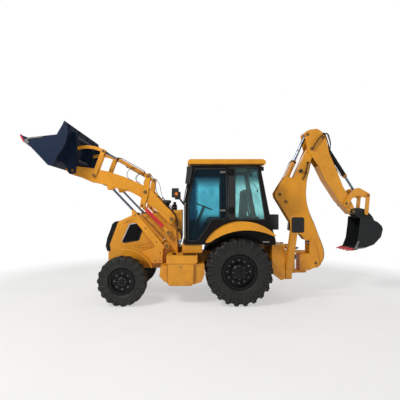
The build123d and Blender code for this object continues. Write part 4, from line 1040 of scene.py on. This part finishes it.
@dataclass(frozen=True)
class Cab:
    """Seals, hinge arms, handles, wipers, mirrors, lamps and roof trim."""

    wall: float = 800.0

    def build(self) -> None:
        """Makes the cab's pieces."""
        wall = self.wall
        make("door_seal", seal(DOOR_WINDOW, -wall), PLASTIC, "door")
        make("side_seals", join([seal(SIDE_WINDOW, -wall).both(), seal(DOOR_WINDOW, wall)]), PLASTIC,
             "chassis")
        arms = [box((-349, -142), (-wall - 14, -wall - 2), (z - 20, z + 20)) for z in (1830, 2590)]
        make("door_hinge_arms", join(arms), GREY, "door")
        heads = [bolt((x, -wall - 13, z), (0, -1, 0), 8, 6) for z in (1830, 2590) for x in (-330, -270, -210)]
        make("door_hinge_bolts", join(heads), STEEL, "door")
        handle = tube([(-800, -wall + 2, 1690), (-806, -wall - 26, 1694), (-806, -wall - 30, 1760),
                       (-806, -wall - 26, 1826),
                       (-800, -wall + 2, 1830)], 9, (1, 0, 0))
        lock = turned([(0, 10), (15, 10), (18, 6), (18, -2)], (-800, -wall - 1, 1650), (0, -1, 0), 24)
        make("door_handle", join([handle, lock]), BLACK, "door")
        pillar = [plate(rounded([(-174, a), (-62, a), (-62, b), (-174, b)], 8), -wall - 5, -wall + 1)
                  for a, b in ((1640, 1765), (1895, 2525), (2655, 2690))]
        make("pillar_covers", join(pillar + [s.mirrored() for s in pillar]), PLASTIC, "chassis")
        rail = [(-1032, -wall + 4, 1262), (-1040, -wall - 30, 1275), (-1042, -wall - 34, 1400),
                (-1042, -wall - 34, 1620),
                (-1042, -wall - 34, 1850), (-1040, -wall - 30, 1962), (-1032, -wall + 4, 1976)]
        rails = tube(rail, 14, (1, 0, 0)).both()
        make("grab_rails", rails, GREY, "chassis")
        self.roof()
        self.wipers()
        self.lamps()

    def roof(self) -> None:
        """Makes the roof's raised panel and gutters."""
        panel = rounded([(-860, -640), (430, -640), (430, 640), (-860, 640)], 90)
        ridge = [plate(rounded([(-800, y - 45), (370, y - 45), (370, y + 45), (-800, y + 45)], 40), 2864,
                       2872, "xy", 3)
                 for y in (-400, 0, 400)]
        make("roof_panel", join([plate(panel, 2850, 2866, "xy", 6), *ridge]), YELLOW, "chassis")
        gutter = np.array([(-9, -5), (-9, 5), (-4, 8), (4, 8), (9, 5), (9, -5)])
        line = sweep(smooth([(-940, -826, 2746), (-600, -826, 2746), (100, -826, 2746), (520, -826, 2746)]),
                     gutter, (0, 1, 0))
        make("roof_gutters", line.both(), BLACK, "chassis")

    def wipers(self) -> None:
        """Makes the front and rear wipers."""
        front = [
            tube([(-1072, 60, 2002), (-1085, 30, 2030), (-1040, -120, 2240), (-1005, -230, 2400)], 8,
                 (1, 0, 0)),
            tube([(-1058, -150, 2180), (-1010, -228, 2398), (-972, -310, 2580)], 5, (1, 0, 0)),
            turned([(0, 20), (20, 20), (26, 12), (26, 0)], (-1066, 60, 2000), (-1, 0, 0.2), 24),
        ]
        rear = [
            tube([(560, -40, 2250), (545, 60, 2330), (540, 190, 2370), (525, 300, 2430)], 7, (1, 0, 0)),
            turned([(0, 30), (20, 30), (26, 20), (26, 0)], (530, -40, 2250), (1, 0, 0.25), 24),
        ]
        make("wipers", join(front + rear), BLACK, "chassis")

    def lamps(self) -> None:
        """Makes the lenses, bezels and reflectors of the head, roof and rear lamps."""
        lens, amber, red, bezels = [], [], [], []
        for y in (-725, 725):
            face = rounded([(y - 52, 2102), (y + 52, 2102), (y + 52, 2225), (y - 52, 2225)], 22)
            lens.append(plate(face, -1308, -1298, "yz", 4))
            bezels.append(sweep(np.insert(rounded(face, 4, 2), 0, -1302.0, axis=1), circle(6, 8), (1, 0, 0),
                                closed=True))
            side = rounded([(y - 52, 2232), (y + 52, 2232), (y + 52, 2264), (y - 52, 2264)], 12)
            amber.append(plate(side, -1310, -1298, "yz", 4))
        for y in (-640, 640):
            for x, out in ((-1005, -1), (545, 1)):
                front = (x, y, 2676)
                lens.append(turned([(40, -2), (38, 2), (26, 5), (0, 6)], front, (out, 0, 0), 32))
                bezels.append(turned([(43, -10), (47, -8), (47, 2), (43, 4), (40, 2)], front, (out, 0, 0),
                                     32))
        round_marker = turned([(30, -2), (30, 8), (24, 13), (0, 14)], (-1214, -790, 2160), (0, -1, 0), 32)
        amber += [round_marker, round_marker.mirrored()]
        for y in (-590,):
            red.append(plate(rounded([(y - 85, 1470), (y + 85, 1470), (y + 85, 1580), (y - 85, 1580)], 14),
                             840, 850, "yz", 4))
            amber.append(plate(rounded([(y - 85, 1600), (y + 85, 1600), (y + 85, 1710), (y - 85, 1710)], 14),
                               840, 850, "yz", 4))
        marker = plate(rounded([(505, 1196), (628, 1196), (628, 1216), (505, 1216)], 8), -808, -798)
        make("lamp_lenses", join([*lens, marker.both()]), CLEAR, "chassis")
        make("lamp_ambers", join(amber), AMBER, "chassis")
        make("lamp_reds", join(red), RED_LENS, "chassis")
        make("lamp_bezels", join(bezels), BLACK, "chassis")
        face = sweep(np.array([(-946.0, -849.0, 2385.0), (-896.0, -849.0, 2655.0)]),
                     np.array([(-2, -13), (2, -13), (2, 13), (-2, 13)]), (0, 1, 0))
        make("mirror_faces", face.both(), CHROME, "chassis")


@dataclass(frozen=True)
class Loader:
    """Hoses, pipes, bosses, weld beads, locking strut, wear strips and tooth caps of the front loader."""

    def build(self) -> None:
        """Makes the loader's pieces."""
        pin_heads("frame_pin_heads", "chassis", [(p, 40) for p in (ARM_PIVOT, LINK_FOOT, LIFT_BASE)], 640)
        pin_heads("crank_pin_heads", "bellcranks", [(CRANK_PIVOT, 40), (CRANK_FOOT, 32)], 638)
        pin_heads("lever_pin_heads", "lever_pins", [(LEVER_PIVOT, 32)], 644)
        pin_heads("top_pin_heads", "link_pins", [(LEVER_TOP, 24)], 644)
        pin_heads("tilt_pin_heads", "crank_pins", [(CRANK_TOP, 32)], 644)
        pin_heads("bucket_pin_heads", "bucket_pins", [(COUPLER_PIN, 32)], 644)
        boss = [(0, 12), (20, 12), (24, 9), (50, 9), (54, 6), (54, 0)]
        bosses = [turned(boss, (x, -610, z), (0, -1, 0)) for x, z in (LIFT_EYE, (-3090, 2622))]
        make("arm_bosses", join(bosses).both(), YELLOW, "loader_arms")
        strut = np.array((LINK_FOOT, CRANK_FOOT))
        ends = strut[0] + (strut[1] - strut[0]) * np.array((0.22, 0.86))[:, None]
        path = np.insert(ends, 1, -613.0, axis=1)
        section = np.array([(-33, -5), (-33, 4), (-30, 6), (30, 6), (33, 4), (33, -5)])
        make("lock_struts", sweep(path, section, (0, 1, 0)).both(), RED, "levelling_links")
        self.pipes()
        self.bucket_trim()
        for name, base, eye, y, radius, length, lift in (
            ("lift", LIFT_BASE, LIFT_EYE, -570.0, 50.0, 900.0, -1.0),
            ("tilt", CRANK_TOP, LEVER_TOP, -563.0, 38.0, 740.0, -1.0),
        ):
            Ram(f"{name}_ram", f"{name}_barrels", base, eye, y, radius, length, lift, True).build()

    def pipes(self) -> None:
        """Makes the hoses along the arms and beside the towers."""
        down = [(-1590, 2130), (-1500, 2022), (-1360, 1880), (-1262, 1765), (-1215, 1640), (-1200, 1500)]
        hoses = [flat_tube(down, y, HOSE_R) for y in (-584, -558)]
        beside = -613.5  # between the tilt ram's gland and the bellcrank's outer plate
        routes = (
            [(-1790, 2586), (-1740, 2560), (-1668, 2440), (-1640, 2300), *down],
            [(-2060, 2690), (-2126, 2700), (-2200, 2640), (-2228, 2560), (-2190, 2480), (-2110, 2436)],
            [(-1900, 2590), (-1983, 2580), (-2040, 2520), (-2045, 2460), (-2000, 2410), (-1950, 2380)],
        )
        loops = [flat_tube(route, beside, LOOP_R) for route in routes]
        rear = [
            tube([(-1196, y, 1390), (-1150, y - 3, 1420), (-1120, y - 6, 1330), (-1130, y - 4, 1180),
                  (-1190, y, 1080)], HOSE_R)
            for y in (-498, -524)
        ]
        make("arm_hoses", join(hoses + loops).both(), HOSE, "loader_arms")
        make("tower_hoses", join(rear).both(), HOSE, "chassis")
        clips = [box((x - 14, x + 14), (-612, -528), (z - 8, z + 20), 2)
                 for x, z in ((-1590, 2110), (-1370, 1880))]
        make("hose_clips", join(clips).both(), BLACK, "loader_arms")
        bead = np.array([(-5, -3), (-3, 3), (3, 3), (5, -3)])
        seam = [(-2950, -606, 2655), (-2620, -606, 2590), (-2280, -606, 2478), (-1930, -606, 2320),
                (-1790, -606, 2240)]
        make("arm_welds", sweep(smooth(seam, 10), bead, (0, 1, 0)).both(), YELLOW, "loader_arms")

    def bucket_trim(self) -> None:
        """Makes the bucket's cutting edge, side edges, back ribs and tooth caps."""
        tooth = [(-4060, 3126), (-4080, 3190), (-4135, 3270), (-4138, 3238), (-4100, 3160), (-4078, 3124)]
        caps = [plate(inset(np.array(tooth, float), -1.0), y - 33.5, y + 33.5)
                for y in np.linspace(-1140, 1140, 8)]
        make("loader_tooth_caps", join(caps), RED, "loader_bucket")
        edge = [(-4066, 3150), (-4056, 3162), (-3950, 3052), (-3962, 3042)]
        side = [(-3984, 3089), (-4056, 3152), (-3946, 3202), (-3700, 3229), (-3702, 3204), (-3940, 3176),
                (-3990, 3146), (-3950, 3108)]
        make("bucket_edges", join([plate(edge, -1202, 1202), plate(side, -1207, -1199).both()]), STEEL,
             "loader_bucket")
        rib = [(-3305, 3500), (-3409, 3254), (-3459, 3004), (-3529, 2804), (-3617, 2690), (-3633, 2706),
               (-3511, 2812), (-3441, 3006), (-3391, 3258), (-3289, 3506)]
        ribs = [plate(np.array(rib, float) + (16, 0), y - 9, y + 9) for y in (-900, -300, 300, 900)]
        make("bucket_ribs", join(ribs), BUCKET, "loader_bucket")


@dataclass(frozen=True)
class DiggingArm:
    """Pin heads, hoses, pads, work lamp, rams' trim and tooth caps of the digging arm."""

    def build(self) -> None:
        """Makes the arm's pieces."""
        pin_heads("post_pin_heads", "swing_post", [(BOOM_FOOT, 36)], 155)
        pin_heads("boom_pin_heads", "boom", [(BOOM_RAM_KNEE, 36), (DIPPER_RAM_KNEE, 36)], 125)
        pin_heads("dipper_pin_heads", "dipper", [(DIPPER_PIVOT, 36), (BUCKET_RAM_TOP, 36),
                                                 (DIPPER_RAM_TOP, 36)], 148)
        pin_heads("rocker_pin_heads", "dipper", [(ROCKER_PIVOT, 30)], 194)
        pin_heads("tip_pin_heads", "rocker", [(ROCKER_TIP, 26)], 214)
        pin_heads("digger_pin_heads", "digger_bucket", [(BUCKET_PIVOT, 36)], 172)
        pad = rounded([(1259, 1375), (1294, 1707), (1560, 1660), (1520, 1337)], 30)
        make("boom_pads", plate(pad, -128, -116, bevel=4).both(), PLASTIC, "boom")
        edge = [(1236, 1392), (1272, 1712), (1292, 1709), (1257, 1388)]
        make("pad_edges", plate(edge, -122, -116, bevel=2).both(), SILVER, "boom")
        crease = [(1180, 2500), (1130, 2320), (1125, 2160), (1190, 1960), (1320, 1740)]
        bead = np.array([(-6, -3), (-3, 4), (3, 4), (6, -3)])
        line = sweep(smooth([(x, -117, z) for x, z in crease], 10), bead, (0, 1, 0))
        make("boom_creases", line.both(), YELLOW, "boom")
        lamp = (1470, -124, 2690)
        housing = [turned([(0, -34), (30, -32), (42, -10), (42, 26), (38, 30)], lamp, (0.8, -0.1, -0.6), 32),
                   box((1440, 1500), (-128, -112), (2676, 2704), 3)]
        make("boom_lamp", join(housing), PLASTIC, "boom")
        make("boom_lamp_lens", turned([(38, 24), (26, 31), (0, 33)], lamp, (0.8, -0.1, -0.6), 32), CLEAR,
             "boom")
        self.hoses()
        for name, base, eye, radius, length, lift in (
            ("boom", BOOM_RAM_KNEE, BOOM_RAM_POST, 58.0, 840.0, 1.0),
            ("dipper", DIPPER_RAM_KNEE, DIPPER_RAM_TOP, 58.0, 820.0, 1.0),
            ("bucket", BUCKET_RAM_TOP, ROCKER_RAM, 45.0, 1000.0, -1.0),
        ):
            head = RAM_YELLOW if name == "bucket" else BLACK
            Ram(f"{name}_ram", f"{name}_barrel", base, eye, 0.0, radius, length, lift, head=head).build()
        caps = [plate([(2395, 966), (2475, 971), (2530, 973), (2545, 1024), (2528, 1024), (2455, 998)],
                      y - 31.5, y + 31.5)
                for y in np.linspace(-255, 255, 4)]
        make("digger_tooth_caps", join(caps), RED, "digger_bucket")
        side = [(2640, 1180), (2548, 1000), (2700, 1016), (2782, 1030), (2780, 1052), (2620, 1034),
                (2662, 1176)]
        make("digger_side_edges", plate(side, -306, -299).both(), STEEL, "digger_bucket")

    def hoses(self) -> None:
        """Makes the hoses and steel pipes along the boom and dipper."""
        boom = [(1905, 640), (1985, 760), (1996, 925), (1955, 1085), (1868, 1303), (1781, 1540), (1694, 1736),
                (1628, 1950), (1600, 2164), (1607, 2358), (1628, 2530), (1672, 2705), (1715, 2918)]
        bridge = [(1715, 2918), (1760, 3010), (1835, 3120), (1880, 3260), (1900, 3400), (1950, 3520),
                  (2010, 3500), (2050, 3400)]
        down = [(2050, 3400), (2090, 3260), (2120, 3060), (2200, 2860), (2290, 2640)]
        side = [(1500, 2500), (1560, 2600), (1592, 2740), (1612, 2830), (1624, 2890)]
        pipes = [flat_tube(boom, y, PIPE_R) for y in (-54, -26, 26, 54)]
        make("boom_pipes", join(pipes), STEEL, "boom")
        over = [
            tube([(1706, y, 3150), (1765, y - 8, 3262), (1855, y - 10, 3392), (1945, y - 6, 3482),
                  (2036, y + 14, 3486), (2088, y + 50, 3398), (2112, (y - 80) / 2, 3290),
                  (2134, y / 5 - 6, 3150)], HOSE_R)
            for y in (-166, -190)
        ]
        bridges = [flat_tube(bridge, y, BRIDGE_R) for y in (-84, -60, 60, 84)]
        downs = [flat_tube(down, y, HOSE_R) for y in (-84, 84)]
        make("dipper_hoses", join(bridges + downs + over), HOSE, "dipper")
        clips = [box((x - 22, x + 22), (-164, -116), (z - 10, z + 10), 2)
                 for x, z in ((1575, 2650), (1622, 2870))]
        make("boom_side_hoses", join([flat_tube(side, y, PIPE_R) for y in (-132, -152)]), HOSE, "boom")
        make("boom_hose_clips", join(clips), BLACK, "boom")


@dataclass(frozen=True)
class Chassis:
    """Steps, caps, covers, stabilizer trim and bolts on the chassis."""

    def build(self) -> None:
        """Makes the chassis' pieces."""
        treads = [box((-1080, -820), (-1040, -830), (969, 973), 1)]
        treads += [box((x, x + 8), (-1036, -836), (972, 978), 1.5) for x in range(-1074, -826, 22)]
        make("step_treads", join(treads).both(), BLACK, "chassis")
        caps = [turned([(0, 28), (34, 28), (40, 22), (40, 0)], (-1250, -900, 969), (0, 0, 1), 32),
                turned([(0, 34), (12, 34), (12, 26)], (-1250, -900, 969), (0, 0, 1), 16)]
        make("tank_caps", join(caps).both(), BLACK, "chassis")
        lid = rounded([(-1362, 440), (-1362, 786), (-882, 786), (-896, 440), (-930, 405), (-1326, 405)], 26)
        make("tank_panels", plate(lid, -1056, -1048, bevel=3).both(), YELLOW, "chassis")
        slots = [box((-1390, -866), (-1052, -1048), (803, 809), 1),
                 *(box((x, x + 6), (-1052, -1048), (440, 800), 1) for x in (-1380, -870))]
        make("tank_seams", join(slots).both(), BLACK, "chassis")
        tower = [bolt((x, -692, z), (0, -1, 0), 11, 8) for x, z in
                 ((-1545, 820), (-1640, 820), (-1545, 980), (-2050, 1735), (-1840, 1470), (-1620, 1195))]
        tower.append(bolt((-1115, -1056, 750), (0, -1, 0), 12, 8))
        rear = [bolt((951, y, z), (1, 0, 0), 13, 9) for y in (-700, -420, 420, 700) for z in (700, 1090)]
        make("frame_bolts", join([join(tower).both(), *rear]), STEEL, "chassis")
        tail = [tube([(955, y, 980), (1080, y * 0.9, 1010), (1220, y * 0.7, 1005), (1360, y * 0.55, 985),
                      (1440, y * 0.5, 1010)],
                     11, (0, 0, 1)) for y in (-120, -84, 84, 120)]
        make("tail_hoses", join(tail), HOSE, "chassis")
        for side, name in ((-1, "left"), (1, "right")):
            rubber = plate(rounded([(960, 1415), (1200, 1415), (1200, 1705), (960, 1705)], 40), -1187, -1179,
                           bevel=3)
            shape = rubber if side < 0 else rubber.mirrored()
            make(f"stabilizer_pad_{name}", shape, HOSE, f"stabilizer_{name}")
            hub = turned([(0, 14), (24, 14), (30, 9), (62, 9), (66, 4), (66, 0)], (1080, side * 710, 520),
                         (1, 0, 0), 32)
            make(f"stabilizer_hub_{name}", hub, STEEL, f"stabilizer_{name}")


@dataclass(frozen=True)
class Seat:
    """The driver's padded seat on its bellows."""

    def build(self) -> None:
        """Makes the seat's pieces."""
        base = self.cushion((-258, 205), (-246, 246), 1486, 1600, 18)
        back = self.upright()
        for name, shape in (("seat_cushion", base), ("seat_back", back)):
            piece = make(name, shape, COVER, "chassis")
            inflate(piece)
        folds = [(150 + (12 if i % 2 else -12), 1195 + i * 24) for i in range(12)]
        boot = turned([(0, 1195), *folds, (0, 1470)], (0, 0, 0), (0, 0, 1), 48)
        make("seat_bellows", boot, PLASTIC, "chassis", ("seat",))
        shell = plate(rounded([(-255, 1466), (238, 1466), (262, 1610), (316, 2090), (286, 2290), (262, 2290),
                               (290, 2090),
                               (232, 1630), (215, 1490), (-255, 1486)], 16, 4), -238, 238, bevel=6)
        make("seat_shell", shell, PLASTIC, "chassis")

    def cushion(self, x: Row, y: Row, low: float, high: float, crown: float) -> Shape:
        """Gives a crowned cushion: a rounded outline at seven heights, with its sides pulled in at the edges.

        Args:
            x: Its range along x.
            y: Its range along y.
            low: Its underside.
            high: Its top.
            crown: How far its middle rises.

        Returns:
            The closed form.
        """
        edge = rounded([(x[0], y[0]), (x[1], y[0]), (x[1], y[1]), (x[0], y[1])], 70, 7)
        middle = edge.mean(0)
        share = np.array((0.0, 0.90, 0.965, 1.0, 0.985, 0.93, 0.72, 0.40, 0.0))
        rise = np.array((0, 0, 0.12, 0.4, 0.7, 0.86, 0.96, 0.99, 1.0))
        points = np.empty((len(share), len(edge), 3))
        points[:, :, :2] = middle + (edge - middle) * share[:, None, None]
        points[:, :, 2] = (low + (high - crown - low) * rise + crown * np.maximum(0, rise - 0.85) / 0.15)[:,
                None]
        return grid(points, wrap_v=True)

    def upright(self) -> Shape:
        """Gives the back cushion: the base cushion's form, stood up and leant back.

        Returns:
            The closed form.
        """
        flat = self.cushion((0, 670), (-222, 222), 0, 92, 16)
        p = flat.points
        lean = np.interp(p[:, 0], (0, 480, 670), (0, 48, 30))
        return Shape(np.stack((228 - p[:, 2] + lean, p[:, 1], 1612 + p[:, 0]), -1), flat.faces)


def inflate(piece: bpy.types.Object) -> None:
    """Swells a cushion by a cloth simulation with inner pressure, and keeps the result.

    Args:
        piece: The cushion.
    """
    remesh = piece.modifiers.new("remesh", "REMESH")
    remesh.mode, remesh.voxel_size = "VOXEL", 0.012
    cloth = piece.modifiers.new("cloth", "CLOTH")
    cloth.settings.use_pressure, cloth.settings.uniform_pressure_force = True, 3.0
    cloth.settings.effector_weights.gravity = 0.0
    before = bpy.context.evaluated_depsgraph_get()
    start = bpy.data.meshes.new_from_object(piece.evaluated_get(before))
    for number in range(1, 16):
        bpy.context.scene.frame_set(number)
    after = bpy.data.meshes.new_from_object(piece.evaluated_get(bpy.context.evaluated_depsgraph_get()))
    bpy.context.scene.frame_set(1)
    piece.modifiers.clear()
    if len(start.vertices) != len(after.vertices):
        log.info("%s keeps its own form", piece.name)
        return
    old, new = np.empty(len(start.vertices) * 3), np.empty(len(start.vertices) * 3)
    start.vertices.foreach_get("co", old)
    after.vertices.foreach_get("co", new)
    move = (new - old).reshape(-1, 3)
    length = np.linalg.norm(move, axis=1, keepdims=True)
    move *= np.minimum(1, 0.007 / np.maximum(length, 1e-9))
    after.vertices.foreach_set("co", (old.reshape(-1, 3) + move).ravel())
    after.polygons.foreach_set("use_smooth", np.ones(len(after.polygons), bool))
    piece.data = after
    log.info("%s swelled by up to %.1f mm", piece.name, 1000 * float(np.linalg.norm(move, axis=1).max()))


@dataclass(frozen=True)
class Studio:
    """Floor, lights, world and camera."""

    def build(self) -> None:
        """Makes the studio round the machine."""
        scene = bpy.context.scene
        scene.view_settings.view_transform = "Standard"
        r = np.linspace(0, 60, 25)[:, None]
        t = np.linspace(0, 2 * np.pi, 65)[None, :-1]
        points = np.stack((r * np.cos(t), r * np.sin(t), 0 * r * t), -1)
        disc = grid(points, wrap_v=True)
        mesh = bpy.data.meshes.new("floor")
        mesh.from_pydata(disc.points.tolist(), [], disc.faces)
        mesh.materials.append(SHOP.material(FLOOR))
        floor = bpy.data.objects.new("floor", mesh)
        scene.collection.objects.link(floor)
        self.light("key", (-7.0, -8.0, 10.0), 1150.0, 3.0)
        self.light("fill", (9.0, -7.0, 5.0), 180.0, 7.0)
        self.light("back", (3.0, 9.0, 9.0), 320.0, 7.0)
        self.world()
        self.camera()

    def light(self, name: str, place: Row, power: float, size: float) -> None:
        """Makes a soft lamp that looks at the machine.

        Args:
            name: Its name.
            place: Where it stands.
            power: Its power in watts.
            size: Its side in metres.
        """
        data = bpy.data.lights.new(name, "AREA")
        data.energy, data.size = power, size
        lamp = bpy.data.objects.new(name, data)
        lamp.location = place
        aim = bpy.data.objects.new(f"{name}_aim", None).location.copy()
        aim.z = 1.4
        lamp.rotation_euler = (aim - lamp.location).to_track_quat("-Z", "Y").to_euler()
        bpy.context.scene.collection.objects.link(lamp)

    def world(self) -> None:
        """Makes the world: an even pale light, seen as white by the camera, and dimmer in reflections."""
        world = bpy.data.worlds.new("studio")
        world.use_nodes = True
        tree = world.node_tree
        tree.nodes.clear()
        path = tree.nodes.new("ShaderNodeLightPath")
        seen = tree.nodes.new("ShaderNodeMath")
        seen.operation = "MAXIMUM"
        tree.links.new(path.outputs["Is Camera Ray"], seen.inputs[0])
        tree.links.new(path.outputs["Is Transmission Ray"], seen.inputs[1])
        level = tree.nodes.new("ShaderNodeMapRange")
        level.inputs["To Min"].default_value, level.inputs["To Max"].default_value = 0.42, 0.16
        tree.links.new(path.outputs["Is Glossy Ray"], level.inputs["Value"])
        soft, white = tree.nodes.new("ShaderNodeBackground"), tree.nodes.new("ShaderNodeBackground")
        soft.inputs["Color"].default_value = (0.92, 0.95, 1.0, 1.0)
        tree.links.new(level.outputs[0], soft.inputs["Strength"])
        white.inputs["Color"].default_value = (1.0, 1.0, 1.0, 1.0)
        mix = tree.nodes.new("ShaderNodeMixShader")
        output = tree.nodes.new("ShaderNodeOutputWorld")
        tree.links.new(seen.outputs[0], mix.inputs[0])
        tree.links.new(soft.outputs[0], mix.inputs[1])
        tree.links.new(white.outputs[0], mix.inputs[2])
        tree.links.new(mix.outputs[0], output.inputs["Surface"])
        bpy.context.scene.world = world

    def camera(self) -> None:
        """Makes the camera at the photograph's place, level and square to the machine's left side."""
        data = bpy.data.cameras.new("camera")
        data.lens, data.sensor_width = 31.5, 36.0
        data.shift_x, data.shift_y = 0.025, 0.0225
        data.clip_end = 200.0
        camera = bpy.data.objects.new("camera", data)
        camera.location = (-0.457, -7.75, 1.86)
        camera.rotation_euler = (np.pi / 2, 0, 0)
        bpy.context.scene.collection.objects.link(camera)
        bpy.context.scene.camera = camera


def wheels() -> list[Wheel]:
    """Lists the four wheels.

    Returns:
        The wheels.
    """
    rows = {
        "rear": (0.0, 912.0, 650.0, 470.0, 305.0, 22, 38.0, 60.0, 150.0, 190.0, 12),
        "front": (-2240.0, 990.0, 477.0, 310.0, 222.0, 19, 24.0, 50.0, 95.0, 120.0, 8),
    }
    found = []
    for end, (x, y, *rest) in rows.items():
        for side, name in ((-1, "left"), (1, "right")):
            found.append(Wheel(f"{end}_{name}", side, x, side * y, *rest))
    return found


def main() -> None:
    """Builds the looks over the frame."""
    logging.basicConfig(level=logging.INFO, format="%(message)s")
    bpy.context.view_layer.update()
    Studio().build()
    SHOP.dress_nodes()
    for group in (*wheels(), Hood(), Cab(), Loader(), DiggingArm(), Chassis(), Seat()):
        group.build()


if __name__ == "__main__":
    main()
